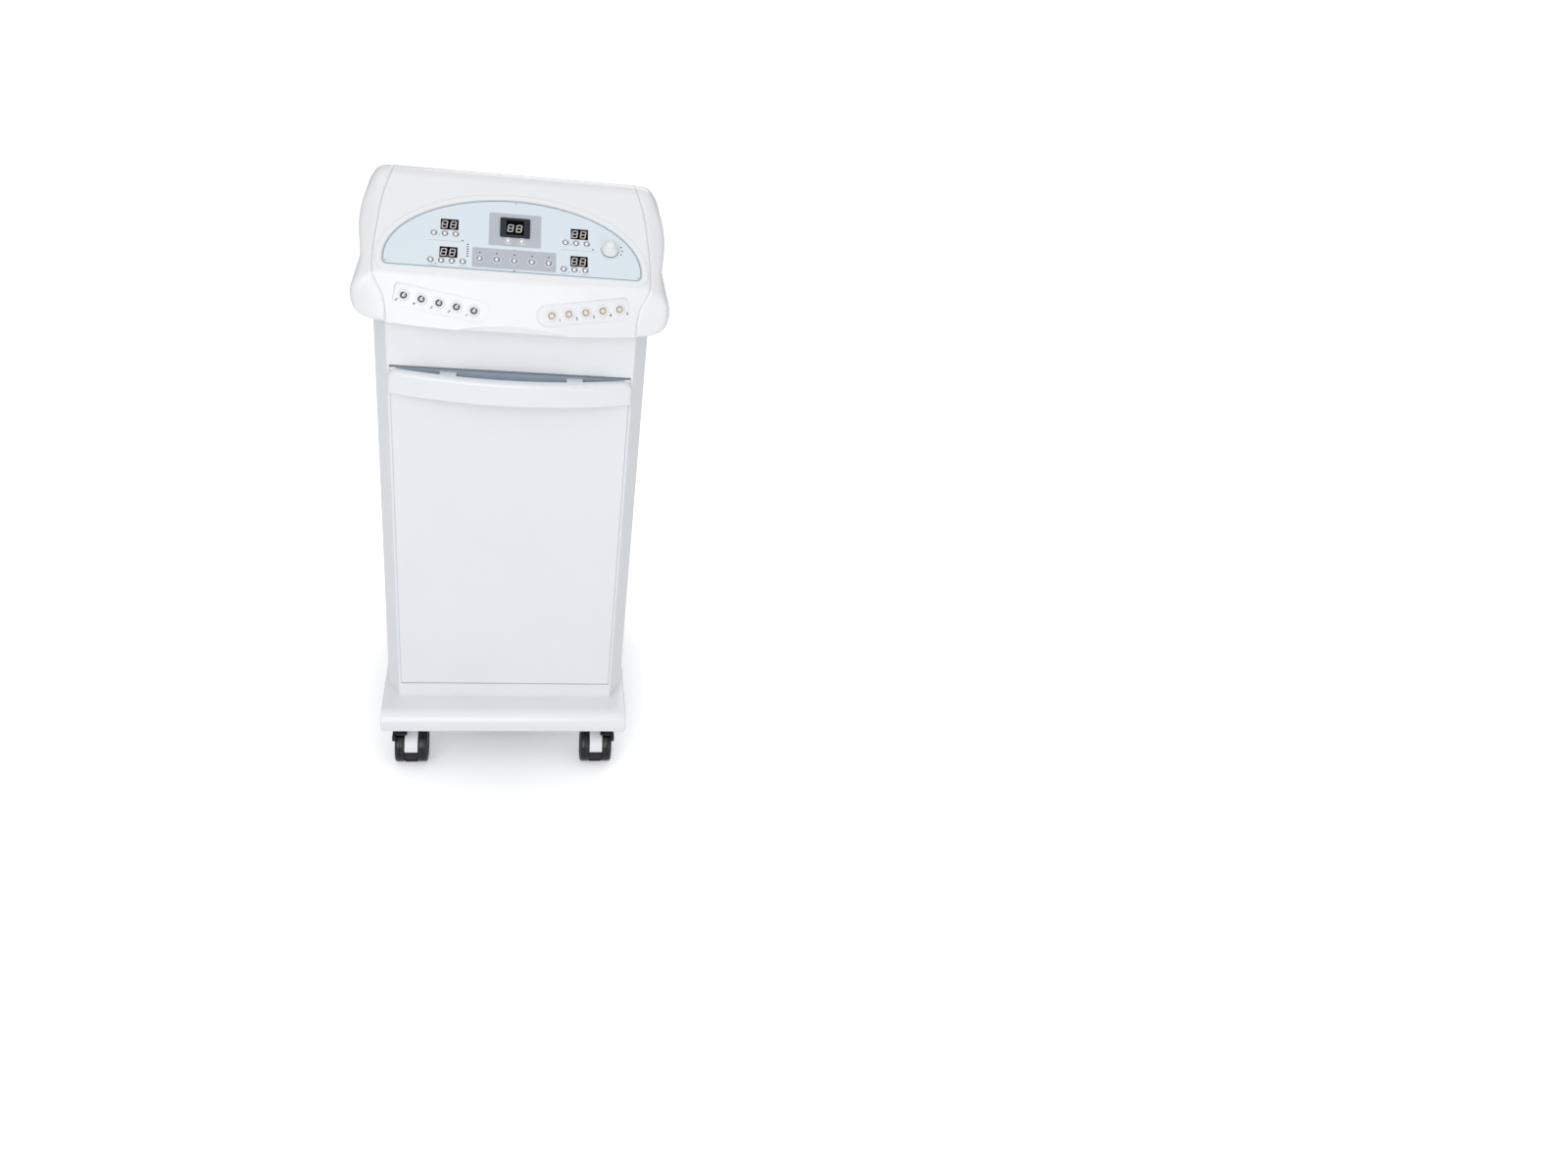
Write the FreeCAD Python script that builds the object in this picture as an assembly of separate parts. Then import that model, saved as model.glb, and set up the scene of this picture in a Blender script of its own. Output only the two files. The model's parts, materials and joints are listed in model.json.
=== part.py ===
import FreeCAD, Part
import math
import os

# Compression therapy pump on a four-caster trolley.
# Lengths are in millimetres and angles in degrees. X points to the user's right, Y towards the
# back and Z up. The origin is on the floor under the middle of the trolley.

V = FreeCAD.Vector

# Fits
running_clearance = 0.05       # radial play of anything that turns or slides in a hole
shell_gap = 0.4                # hairline between the console mouldings
seat_gap = 0.3                 # play between loose neighbours

# Base plate
floor_clearance = 79.0
base_width = 410.0
base_depth = 430.0
base_thickness = 34.0
base_nose_radius = 24.0
base_edge_radius = 3.0

# Casters
caster_side_inset = 48.4       # swivel axis from the base plate's side
caster_end_inset = 49.0        # swivel axis from the base plate's front or back
caster_trail = 23.0
wheel_radius = 30.0
wheel_width = 16.0
wheel_edge_radius = 4.5
wheel_dish_radius = 20.0
wheel_dish_depth = 1.5
axle_radius = 4.0
hood_width = 22.0
hood_radius = 28.5
hood_skirt_height = 20.0       # lowest point of the hood above the floor
swivel_head_radius = 17.0
swivel_head_height = 15.0
swivel_gap = 0.5
stem_radius = 5.5
stem_length = 25.0

# Cabinet
cabinet_setback = 55.6         # front face behind the base plate's nose
cabinet_rear_setback = 15.0
cabinet_width = 397.0
cabinet_front_width = 356.0
cabinet_chamfer_depth = 38.0
cabinet_wall = 10.0
cabinet_front_wall = 23.0
fascia_height = 75.0           # plain strip between the door and the console
plinth_height = 27.0
bay_side_lip = 24.0            # door frame that shows when the door is open
bay_end_lip = 12.0
rear_flange_width = 12.0
rear_flange_thickness = 8.0

# Door
door_width = 348.0
door_thickness = 16.0
door_proud = 2.0
door_edge_gap = 0.7
door_top_gap = 3.0
door_edge_radius = 1.5
door_back_gap = 1.5            # room behind the closed door for its swinging lower edge
door_pivot_depth = 5.0         # hinge line behind the door's front face
hinge_pin_radius = 2.0
hinge_pin_in_door = 12.0
hinge_pin_in_cabinet = 3.0

# Grip bar along the door's top edge
grip_width = 355.0
grip_height = 36.0
grip_drop = 1.0                # top of the bar below the top of the door
grip_reach = 38.0              # bar's front at the middle, ahead of the cabinet
grip_end_reach = 12.0
grip_gap_depth = 24.0          # finger gap at the middle
grip_gap_width = 332.0
grip_top_radius = 6.0
grip_bottom_radius = 2.0
grip_corner_radius = 14.0
grip_bracket_x = 91.5
grip_bracket_width = 23.5
grip_bracket_drop = 1.5
grip_bracket_height = 28.0

# Console body
console_bottom = 802.0
apron_height = 66.0            # console's foot to the line where the apron meets the sloping desk
fold_overhang = 3.0            # fold ahead of the cabinet's front face
apron_reach = 39.0             # apron's foot at the middle, ahead of the cabinet
apron_end_reach = 18.0
apron_bow_width = 394.0
desk_tilt = 40.0
desk_length = 173.5
roof_tilt = 24.0
console_rear_overhang = 5.0    # behind the cabinet
console_wall = 3.0
fold_radius = 22.0
crest_radius = 30.0
rear_fold_radius = 30.0
apron_foot_radius = 2.5
side_round_width = 44.0        # elliptic rounding between a sloping face and the console's side
side_round_drop = 30.0
plan_corner_radius = 30.0
plan_corner_lead = 4.0         # plan corners start this far ahead of the apron's ends
arch_width = 156.0
arch_rise = 9.5
arch_recess = 5.5

# Console outline seen from the front: half widths, and heights each above the one before
foot_half_width = 194.0
bulge_half_width = 226.0
bulge_rise = 28.0
waist_half_width = 212.0
waist_rise = 46.0
shoulder_half_width = 217.5
shoulder_rise = 32.0
crown_half_width = 207.0
crown_rise = 39.0
outline_top_half_width = 178.0
outline_top_rise = 29.5

# Seam between the centre shell and an end cap, seen from the front: insets from the outline
seam_foot_inset = 19.5
seam_knee_inset = 46.0
seam_knee_rise = 40.0
seam_fold_inset = 19.5
seam_fold_rise = 28.0
seam_desk_inset = 30.5
seam_desk_rise = 62.0
seam_top_inset = 7.0
seam_top_rise = 44.5

# Half-moon control panel on the desk
panel_half_width = 181.0
panel_straight_side = 12.0
panel_arc_rise = 103.5
panel_corner_radius = 8.0
panel_from_fold = 12.0
panel_thickness = 2.0
panel_seat_depth = 1.5
panel_ledge = 7.0
panel_edge_gap = 0.3
rim_width = 9.0
rim_height = 1.4

# Displays on the panel
digit_window = (24.6, 16.5)
digit_proud = 0.3
digit_column = 91.0
digit_rows = (25.5, 69.5)      # up from the panel's lower edge
main_frame_size = (42.0, 31.0)
main_frame_radius = 2.0
main_window = (24.6, 23.0)
main_frame_height = 1.8
main_window_sink = 1.0
main_display_row = 71.5

# Push buttons
# Buttons in each group: places across the panel and height of the row
button_groups = {
    "upper_left": ((-112.0, -97.0, -82.0), 54.5),
    "lower_left": ((-115.0, -100.5, -86.0, -71.0), 11.8),
    "main": ((-9.5, 9.5), 50.2),
    "strip": ((-48.0, -24.5, 0.0, 24.5, 48.0), 19.0),
    "upper_right": ((71.5, 86.5, 101.5), 54.5),
    "lower_right": ((69.5, 84.5, 100.0), 11.8),
}
button_radius = 3.4
button_rise = 3.0
button_dome = 1.2
button_travel = 1.0
button_stem_radius = 1.8
button_flange_radius = 4.2
button_flange_thickness = 0.8
guide_flange_radius = 4.8
guide_tube_radius = 4.4
guide_height = 1.3
board_depth = 12.0             # display board below the panel's upper face
board_thickness = 1.6
switch_width = 6.0
switch_height = 3.4
board_peg_radius = 2.5
board_peg_places = ((150.0, 22.0), (55.0, 92.0))
main_board_size = (220.0, 130.0)
main_board_setback = 15.0      # board's back edge ahead of the cable slot
main_board_lift = 10.0
main_board_relays = 6

# Mode knob
knob_place = (135.0, 48.0)
knob_radius = 12.0
knob_height = 13.0
knob_edge_radius = 2.0
knob_grip_width = 5.0
knob_grip_height = 3.0
knob_lift = 0.4
knob_shaft_radius = 3.0
knob_shaft_length = 7.0
knob_bush_radius = 5.0
rotary_width = 16.0
rotary_height = 8.0

# Socket trays on the apron
socket_count = 5
socket_pitch = 24.4
socket_first = 53.5            # innermost socket from the middle plane
socket_row_rise = 31.8         # middle of the row above the console's foot
socket_slant = 7.8             # the rows climb outwards
tray_inner_overrun = 21.5
tray_outer_overrun = 14.0
tray_width = 32.0
tray_depth = 2.5
tray_floor = 2.0
tray_corner_radius = 6.0
socket_flange_radius = 8.0
socket_flange_height = 2.2
socket_barrel_radius = 6.0
socket_barrel_length = 14.0
socket_mouth_radius = 5.0
socket_mouth_depth = 1.8
contact_radius = 0.7
contact_circle = 2.8
contact_depth = 5.0
ems_contacts = 4
heat_contacts = 5

# Console floor
console_floor_thickness = 4.0
cable_slot = (120.0, 60.0)
cable_slot_setback = 85.0      # middle of the slot ahead of the console's back

# Machine bay behind the storage bay
machine_bay_depth = 150.0      # between the partition and the rear panel
partition_thickness = 8.0
rear_panel_thickness = 2.0
rear_panel_recess = 2.0        # panel's outer face ahead of the cabinet's back
rear_panel_gap = 0.5

# Air system
outlet_columns = 12
outlet_rows = 2
outlet_pitch = 24.0
outlet_row_pitch = 30.0
outlet_height = 700.0          # middle of the outlet field
outlet_radius = 4.0
outlet_tip_radius = 3.2
outlet_bore_radius = 1.8
outlet_length = 20.0
outlet_tip_length = 4.0
outlet_collar_radius = 7.0
outlet_collar_length = 4.0
outlet_thread_length = 10.0
manifold_depth = 34.0
manifold_margin = 14.0
valve_size = (18.0, 28.0, 40.0)
valve_coil_height = 14.0
compressor_x = 60.0
compressor_rear_gap = 12.0     # between the compressor and the rear panel
compressor_size = (170.0, 96.0, 104.0)
compressor_edge_radius = 10.0
compressor_head_radius = 34.0
compressor_head_length = 20.0
compressor_foot_radius = 11.0
compressor_foot_height = 14.0
compressor_foot_inset = 22.0
hose_radius = 5.0
hose_spigot_radius = 3.5
hose_spigot_length = 12.0
hose_setback = 25.0            # hose's middle ahead of the rear panel

# Mains side
transformer_x = -110.0
transformer_rear_gap = 51.0
transformer_size = (88.0, 66.0, 74.0)
transformer_coil_bulge = 12.0
inlet_x = -130.0
inlet_z = 190.0
inlet_body = (30.0, 62.0)      # width and height of the module behind the flange
inlet_flange = (40.0, 72.0)
inlet_flange_thickness = 3.0
inlet_depth = 34.0
inlet_socket = (24.4, 16.4)
inlet_socket_depth = 17.0
inlet_socket_drop = 15.0
inlet_pin = (2.0, 4.0, 10.0)
inlet_pin_spread = 7.0
rocker_size = (19.0, 22.0)
rocker_pivot_depth = 3.5
rocker_pocket_height = 24.5
rocker_pocket_depth = 11.0
rocker_pin_length = 1.5
rocker_rise = 15.0             # middle of the rocker above the module's middle
rocker_depth = 9.0
rocker_tilt = 8.0
rocker_pivot_radius = 1.5
rocker_play = 0.25

# Cooling fan
fan_x = 118.0
fan_z = 560.0
fan_size = 92.0
fan_depth = 25.0
fan_throat_radius = 43.0
fan_tip_gap = 1.5
fan_rotor_gap = 1.0
fan_hub_radius = 18.0
fan_blades = 7
fan_blade_thickness = 1.6
fan_blade_pitch = 38.0
fan_spoke_width = 5.0
fan_spoke_thickness = 3.0
fan_pin_radius = 2.5
fan_screw_pitch = 82.5
vent_x = 60.0
vent_height = 210.0
vent_slot = (70.0, 4.0)
vent_pitch = 9.0
vent_rows = 9

# Fasteners
screw_head_radius = 3.6
screw_head_height = 1.8
screw_shank_radius = 1.5
screw_length = 8.0
rear_screw_heights = (150.0, 457.0, 765.0)
panel_screw_head_radius = 1.6
panel_screw_head_height = 0.6
panel_screw_shank_radius = 0.8
panel_screw_length = 3.0

# Places that follow from the sizes above
caster_x = base_width / 2 - caster_side_inset
caster_y = base_depth / 2 - caster_end_inset
fold_height = console_bottom + apron_height
bulge_height = console_bottom + bulge_rise
waist_height = bulge_height + waist_rise
shoulder_height = waist_height + shoulder_rise
crown_height = shoulder_height + crown_rise
outline_top = crown_height + outline_top_rise
seam_foot = foot_half_width - seam_foot_inset
seam_knee = bulge_half_width - seam_knee_inset
seam_fold = waist_half_width - seam_fold_inset
seam_desk = shoulder_half_width - seam_desk_inset
seam_top = outline_top_half_width - seam_top_inset
seam_knee_height = console_bottom + seam_knee_rise
seam_fold_height = seam_knee_height + seam_fold_rise
seam_desk_height = seam_fold_height + seam_desk_rise
seam_top_height = seam_desk_height + seam_top_rise
socket_row_height = console_bottom + socket_row_rise
base_top = floor_clearance + base_thickness
cabinet_front = -base_depth / 2 + cabinet_setback
cabinet_rear = base_depth / 2 - cabinet_rear_setback
door_face = cabinet_front - door_proud
door_back = door_face + door_thickness
door_bottom = base_top + plinth_height + door_edge_gap
fascia_bottom = console_bottom - fascia_height
door_top = fascia_bottom - door_top_gap
grip_top = door_top - grip_drop
pivot_y = door_face + door_pivot_depth
pivot_z = door_bottom + door_pivot_depth
fold_y = cabinet_front - fold_overhang
console_rear = cabinet_rear + console_rear_overhang
rear_panel_front = cabinet_rear - rear_panel_recess - rear_panel_thickness
partition_y = rear_panel_front - machine_bay_depth - partition_thickness
compressor_y = rear_panel_front - compressor_rear_gap - compressor_size[1] / 2
transformer_y = rear_panel_front - transformer_rear_gap - transformer_size[1] / 2
hose_y = rear_panel_front - hose_setback
cable_slot_y = console_rear - cable_slot_setback
bay_half_width = cabinet_width / 2 - cabinet_wall
desk_up = V(0, math.cos(math.radians(desk_tilt)), math.sin(math.radians(desk_tilt)))
desk_out = V(0, -math.sin(math.radians(desk_tilt)), math.cos(math.radians(desk_tilt)))
panel_face = panel_thickness - panel_seat_depth


# Small shape helpers

def box(x0, x1, y0, y1, z0, z1):
    """Block between two corners."""
    return Part.makeBox(x1 - x0, y1 - y0, z1 - z0, V(x0, y0, z0))


def bar(radius, start, end):
    """Round bar from one point to another."""
    return Part.makeCylinder(radius, (end - start).Length, start, end - start)


def mirrored(shape):
    """The same shape on the other side of the middle plane."""
    return shape.mirror(V(0, 0, 0), V(1, 0, 0))


def fused(shapes):
    """One solid from overlapping shapes."""
    return shapes[0].fuse(shapes[1:]).removeSplitter()


def slab(outline, low, high):
    """Outline in the XY plane made thick from one height to another."""
    solid = Part.Face(outline).extrude(V(0, 0, high - low))
    solid.translate(V(0, 0, low))
    return solid


def across(shape):
    """Turn local X, Y, Z into Y, Z, X: an outline drawn in Y and Z becomes a bar along X."""
    shape.Placement = FreeCAD.Placement(V(), FreeCAD.Rotation(V(1, 1, 1), 120)).multiply(shape.Placement)
    return shape


def upright(shape):
    """Stand an outline drawn in X and Z up, with its thickness running towards -Y."""
    shape.Placement = FreeCAD.Placement(V(), FreeCAD.Rotation(V(1, 0, 0), 90)).multiply(shape.Placement)
    return shape


def on_desk(shape):
    """Move a shape from desk coordinates (right, up the slope, out) to its place."""
    place = FreeCAD.Placement(V(0, fold_y, fold_height), FreeCAD.Rotation(V(1, 0, 0), desk_tilt))
    shape.Placement = place.multiply(shape.Placement)
    return shape


def on_panel(shape):
    """Move a shape from panel coordinates, measured from the panel's lower edge and upper face."""
    shape.translate(V(0, panel_from_fold, panel_face))
    return on_desk(shape)


def polygon(points):
    """Closed outline through points in the XY plane."""
    corners = [V(a, b, 0) for a, b in points]
    return Part.makePolygon(corners + corners[:1])


def rounded_rectangle(width, height, radius, centre=(0.0, 0.0)):
    """Rectangle outline with rounded corners, in the XY plane."""
    half_w = width / 2
    half_h = height / 2
    edges = []
    corners = ((1, 1, 0), (-1, 1, 90), (-1, -1, 180), (1, -1, 270))
    for sx, sy, start in corners:
        middle = V(centre[0] + sx * (half_w - radius), centre[1] + sy * (half_h - radius), 0)
        edges.append(Part.makeCircle(radius, middle, V(0, 0, 1), start, start + 90))
    outline = []
    for edge, following in zip(edges, edges[1:] + edges[:1]):
        outline.append(edge)
        outline.append(Part.makeLine(edge.Vertexes[-1].Point, following.Vertexes[0].Point))
    return Part.Wire(outline)


def edges_where(shape, test):
    """Edges whose middle point passes a test."""
    return [edge for edge in shape.Edges if test(edge.CenterOfMass)]


# Trolley

def make_base_plate():
    """Base plate with a rounded nose at the front and the back, bored for the caster stems."""
    plate = box(-base_width / 2, base_width / 2, -base_depth / 2, base_depth / 2,
                floor_clearance, base_top)
    noses = edges_where(plate, lambda p: abs(abs(p.y) - base_depth / 2) < 0.1 and p.z > base_top - 0.1)
    plate = plate.makeFillet(base_nose_radius, noses)
    sides = [edge for edge in plate.Edges
             if all(abs(abs(v.X) - base_width / 2) < 0.1 for v in edge.Vertexes)]
    plate = plate.makeFillet(base_edge_radius, sides)
    for x, y in caster_places().values():
        bore_top = floor_clearance + stem_length + 1.0
        plate = plate.cut(bar(stem_radius + running_clearance, V(x, y, floor_clearance - 1),
                              V(x, y, bore_top)))
    return plate


def caster_places():
    """Swivel axes by corner: f or r for front or rear, l or r for left or right."""
    return {"fl": (-caster_x, -caster_y), "fr": (caster_x, -caster_y),
            "rl": (-caster_x, caster_y), "rr": (caster_x, caster_y)}


def caster_axle_y(y):
    """The wheels trail outwards, away from the trolley's middle."""
    return y + math.copysign(caster_trail, y)


def make_caster_hood(x, y):
    """Hood between the twin wheels, with the swivel head and the stem."""
    axle_y = caster_axle_y(y)
    half = hood_width / 2 - seat_gap
    disc = bar(hood_radius, V(x - half, axle_y, wheel_radius), V(x + half, axle_y, wheel_radius))
    head_low = floor_clearance - swivel_gap - swivel_head_height
    near = min(y, axle_y) if y > 0 else axle_y
    far = axle_y if y > 0 else max(y, axle_y)
    neck_low = wheel_radius
    web = box(x - half, x + half, near - (half if y > 0 else 0), far + (half if y < 0 else 0),
              neck_low, head_low + 1.0)
    head = bar(swivel_head_radius, V(x, y, head_low), V(x, y, floor_clearance - swivel_gap))
    stem = bar(stem_radius, V(x, y, head_low), V(x, y, floor_clearance + stem_length))
    hood = fused([disc, web, head, stem])
    below = box(x - hood_width, x + hood_width, axle_y - 2 * hood_radius, axle_y + 2 * hood_radius,
                -1, hood_skirt_height)
    bore = bar(axle_radius + running_clearance, V(x - hood_width, axle_y, wheel_radius),
               V(x + hood_width, axle_y, wheel_radius))
    return hood.cut(below).cut(bore)


def make_caster_wheels(x, y):
    """Two wheels with dished outer faces on one axle."""
    axle_y = caster_axle_y(y)
    outer = hood_width / 2 + wheel_width
    pieces = [bar(axle_radius, V(x - outer + 2, axle_y, wheel_radius), V(x + outer - 2, axle_y, wheel_radius))]
    for side in (-1, 1):
        inner_face = V(x + side * hood_width / 2, axle_y, wheel_radius)
        outer_face = V(x + side * outer, axle_y, wheel_radius)
        wheel = bar(wheel_radius, inner_face, outer_face)
        wheel = wheel.makeFillet(wheel_edge_radius, [e for e in wheel.Edges if len(e.Vertexes) == 1])
        dish_floor = outer_face - V(side * wheel_dish_depth, 0, 0)
        pieces.append(wheel.cut(bar(wheel_dish_radius, dish_floor, outer_face + V(side, 0, 0))))
    return fused(pieces)


# Cabinet

def cabinet_outline(inset, front_inset, rear):
    """Plan of the cabinet with chamfered front corners, moved in by a wall thickness."""
    run = (cabinet_width - cabinet_front_width) / 2
    skew = inset * math.hypot(run, cabinet_chamfer_depth) / cabinet_chamfer_depth
    half = cabinet_width / 2 - inset
    corner = cabinet_front_width / 2 - skew + run * front_inset / cabinet_chamfer_depth
    side_front = cabinet_front + (half - cabinet_front_width / 2 + skew) * cabinet_chamfer_depth / run
    front = cabinet_front + front_inset
    return polygon([(-corner, front), (corner, front), (half, side_front), (half, rear),
                    (-half, rear), (-half, side_front)])


def make_cabinet_shell():
    """Walls of the cabinet: open at the top and the back, with the door frame in front."""
    body = slab(cabinet_outline(0, 0, cabinet_rear), base_top, console_bottom)
    hollow = slab(cabinet_outline(cabinet_wall, cabinet_front_wall, cabinet_rear + 1), base_top - 1,
                  console_bottom + 1)
    pocket = box(-door_width / 2 - door_edge_gap, door_width / 2 + door_edge_gap,
                 cabinet_front - cabinet_front_wall, door_back + door_back_gap,
                 base_top + plinth_height, fascia_bottom)
    opening = box(-door_width / 2 + bay_side_lip, door_width / 2 - bay_side_lip,
                  cabinet_front - cabinet_front_wall, cabinet_front + cabinet_front_wall + 1,
                  base_top + plinth_height + bay_end_lip, fascia_bottom - bay_end_lip)
    shell = body.cut(hollow).cut(pocket).cut(opening)
    flanges = []
    for side in (-1, 1):
        outer = side * bay_half_width
        inner = side * (bay_half_width - rear_flange_width)
        flanges.append(box(min(inner, outer), max(inner, outer), rear_panel_front - rear_flange_thickness,
                           rear_panel_front, base_top, console_bottom))
    return fused([shell] + flanges).cut([make_hinge_pins()] + rear_screws())


def make_hinge_pins():
    """Two pivot pins that carry the door at its lower corners."""
    inner = door_width / 2 - hinge_pin_in_door
    outer = door_width / 2 + door_edge_gap + hinge_pin_in_cabinet
    pin = bar(hinge_pin_radius, V(inner, pivot_y, pivot_z), V(outer, pivot_y, pivot_z))
    return Part.makeCompound([pin, mirrored(pin)])


def make_door_panel():
    """Flat door, rounded along its lower edge about the hinge line."""
    panel = box(-door_width / 2, door_width / 2, door_face, door_back, door_bottom, door_top)
    foot = edges_where(panel, lambda p: abs(p.y - door_face) < 0.1 and abs(p.z - door_bottom) < 0.1)
    panel = panel.makeFillet(door_pivot_depth, foot)
    rest = edges_where(panel, lambda p: abs(p.y - door_face) < 0.1 and p.z > door_bottom + 10)
    panel = panel.makeFillet(door_edge_radius, rest)
    bore = bar(hinge_pin_radius + running_clearance,
               V(door_width / 2 - hinge_pin_in_door - 0.5, pivot_y, pivot_z),
               V(door_width / 2 + 1, pivot_y, pivot_z))
    return panel.cut(bore).cut(mirrored(bore))


def bowed_outline(half_width, middle_y, end_y, back_y):
    """Plan outline with an arc in front and a straight back."""
    left = V(-half_width, end_y, 0)
    right = V(half_width, end_y, 0)
    front = Part.Arc(left, V(0, middle_y, 0), right).toShape()
    back_right = V(half_width, back_y, 0)
    back_left = V(-half_width, back_y, 0)
    return Part.Wire([front, Part.makeLine(right, back_right), Part.makeLine(back_right, back_left),
                      Part.makeLine(back_left, left)])


def make_door_grip():
    """Bow-fronted grip bar with a finger gap behind it."""
    low = grip_top - grip_height
    bar_plan = bowed_outline(grip_width / 2, cabinet_front - grip_reach,
                             cabinet_front - grip_end_reach, door_face)
    grip = slab(bar_plan, low, grip_top)
    corners = [e for e in edges_where(grip, lambda p: abs(abs(p.x) - grip_width / 2) < 0.1)
               if abs(e.CenterOfMass.z - grip_top) < 0.1]
    grip = grip.makeFillet(grip_corner_radius, corners)
    top = [e for e in grip.Edges if e.BoundBox.YMin < cabinet_front - grip_reach + 1
           and e.CenterOfMass.z > grip_top - 1]
    grip = grip.makeFillet(grip_top_radius, top)
    bottom = [e for e in grip.Edges if e.BoundBox.YMin < cabinet_front - grip_reach + 1
              and e.CenterOfMass.z < low + 1]
    grip = grip.makeFillet(grip_bottom_radius, bottom)
    gap_plan = bowed_outline(grip_gap_width / 2, cabinet_front - grip_gap_depth, door_face - 0.01,
                             door_face + 1)
    return grip.cut(slab(gap_plan, low - 1, grip_top + 1))


def make_grip_brackets():
    """Two brackets that tie the grip bar to the door across the finger gap."""
    high = grip_top - grip_bracket_drop
    low = high - grip_bracket_height
    gap_plan = bowed_outline(grip_gap_width / 2, cabinet_front - grip_gap_depth, door_face - 0.01,
                             door_face)
    gap = slab(gap_plan, low, high)
    brackets = []
    for side in (-1, 1):
        middle = side * grip_bracket_x
        window = box(middle - grip_bracket_width / 2, middle + grip_bracket_width / 2,
                     cabinet_front - grip_reach, door_face, low, high)
        brackets.append(gap.common(window).Solids[0])
    return Part.makeCompound(brackets)


# Console

def console_profile(inset):
    """Side view of the console behind its fold line, as (y, z) points from the fold round."""
    crest = V(0, fold_y, fold_height) + desk_up * desk_length
    desk_rise = math.tan(math.radians(desk_tilt))
    roof_fall = math.tan(math.radians(roof_tilt))
    desk_drop = inset / math.cos(math.radians(desk_tilt))
    roof_drop = inset / math.cos(math.radians(roof_tilt))
    front = fold_y + inset
    front_z = fold_height - desk_drop + desk_rise * inset
    crest_y = crest.y + (desk_drop - roof_drop) / (desk_rise + roof_fall)
    crest_z = crest.z - desk_drop + desk_rise * (crest_y - crest.y)
    rear = console_rear - inset
    rear_z = crest.z - roof_drop - roof_fall * (rear - crest.y)
    return [(front, front_z), (crest_y, crest_z), (rear, rear_z), (rear, console_bottom),
            (front, console_bottom)]


def straight_outline(half_width, front_y, back_y):
    """Plan rectangle whose edges run in the same order as a bowed outline's."""
    return polygon([(-half_width, front_y), (half_width, front_y), (half_width, back_y),
                    (-half_width, back_y)])


def side_curve(points, tangents):
    """Smooth curve through (half width, height) points with a direction at each."""
    curve = Part.BSplineCurve()
    curve.interpolate(Points=[V(a, b, 0) for a, b in points],
                      Tangents=[V(a, b, 0) for a, b in tangents],
                      TangentFlags=[True] * len(points))
    return curve.toShape()


def front_outline_solid(edge):
    """Region between a side curve and its mirror image in the front view, as a solid along Y."""
    low = edge.Vertexes[0].Point
    high = edge.Vertexes[-1].Point
    outline = Part.Wire([edge, Part.makeLine(high, V(-high.x, high.y, 0)), mirrored(edge),
                         Part.makeLine(V(-low.x, low.y, 0), low)])
    return upright(slab(outline, -base_depth, base_depth))


def console_front_view(inset):
    """Solid that trims the console to its waisted outline in the front view."""
    points = [(foot_half_width - inset, console_bottom),
              (bulge_half_width - inset, bulge_height),
              (waist_half_width - inset, waist_height),
              (shoulder_half_width - inset, shoulder_height),
              (crown_half_width - inset, crown_height - inset),
              (outline_top_half_width, outline_top - inset)]
    tangents = [(1, 0.12), (0, 1), (0, 1), (0, 1), (-0.5, 0.87), (-1, 0.03)]
    return front_outline_solid(side_curve(points, tangents))


def console_plan_view(inset):
    """Solid that rounds the console's upright corners."""
    front = cabinet_front - apron_end_reach - plan_corner_lead + inset
    rear = console_rear + 1.0 - inset
    outline = rounded_rectangle(2 * (bulge_half_width - inset), rear - front, plan_corner_radius - inset,
                                (0, (front + rear) / 2))
    middle = box(-foot_half_width, foot_half_width, cabinet_front - 2 * apron_reach, 0,
                 console_bottom, outline_top)
    return slab(outline, console_bottom - 1, outline_top).fuse(middle)


def long_edge_view(inset):
    """Section that rounds the long side edges of a sloping face, drawn about that face's plane."""
    half = bulge_half_width - inset
    width = side_round_width - inset
    drop = side_round_drop - inset
    top = -inset
    ellipse = Part.Ellipse(V(half - width, top - drop, 0), width, drop)
    arc = Part.ArcOfEllipse(ellipse, 0, math.pi / 2).toShape()
    arc_low = V(half, top - drop, 0)
    arc_high = V(half - width, top, 0)
    foot = V(half, -outline_top, 0)
    sides = [arc, Part.makeLine(arc_low, foot)]
    spans = [Part.makeLine(arc_high, V(-arc_high.x, arc_high.y, 0)),
             Part.makeLine(foot, V(-foot.x, foot.y, 0))]
    outline = Part.Wire(Part.__sortEdges__(sides + [mirrored(edge) for edge in sides] + spans))
    return upright(slab(outline, -outline_top, outline_top))


def on_roof(shape):
    """Move a shape from roof coordinates (right, down the roof, out) to its place."""
    crest = V(0, fold_y, fold_height) + desk_up * desk_length
    place = FreeCAD.Placement(crest, FreeCAD.Rotation(V(1, 0, 0), -roof_tilt))
    shape.Placement = place.multiply(shape.Placement)
    return shape


def apron_foot_y(x):
    """Y of the apron's lower edge at a distance from the middle plane."""
    half = apron_bow_width / 2
    bow = apron_reach - apron_end_reach
    radius = (half * half + bow * bow) / (2 * bow)
    return cabinet_front - apron_reach + radius - math.sqrt(radius * radius - x * x)


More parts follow.
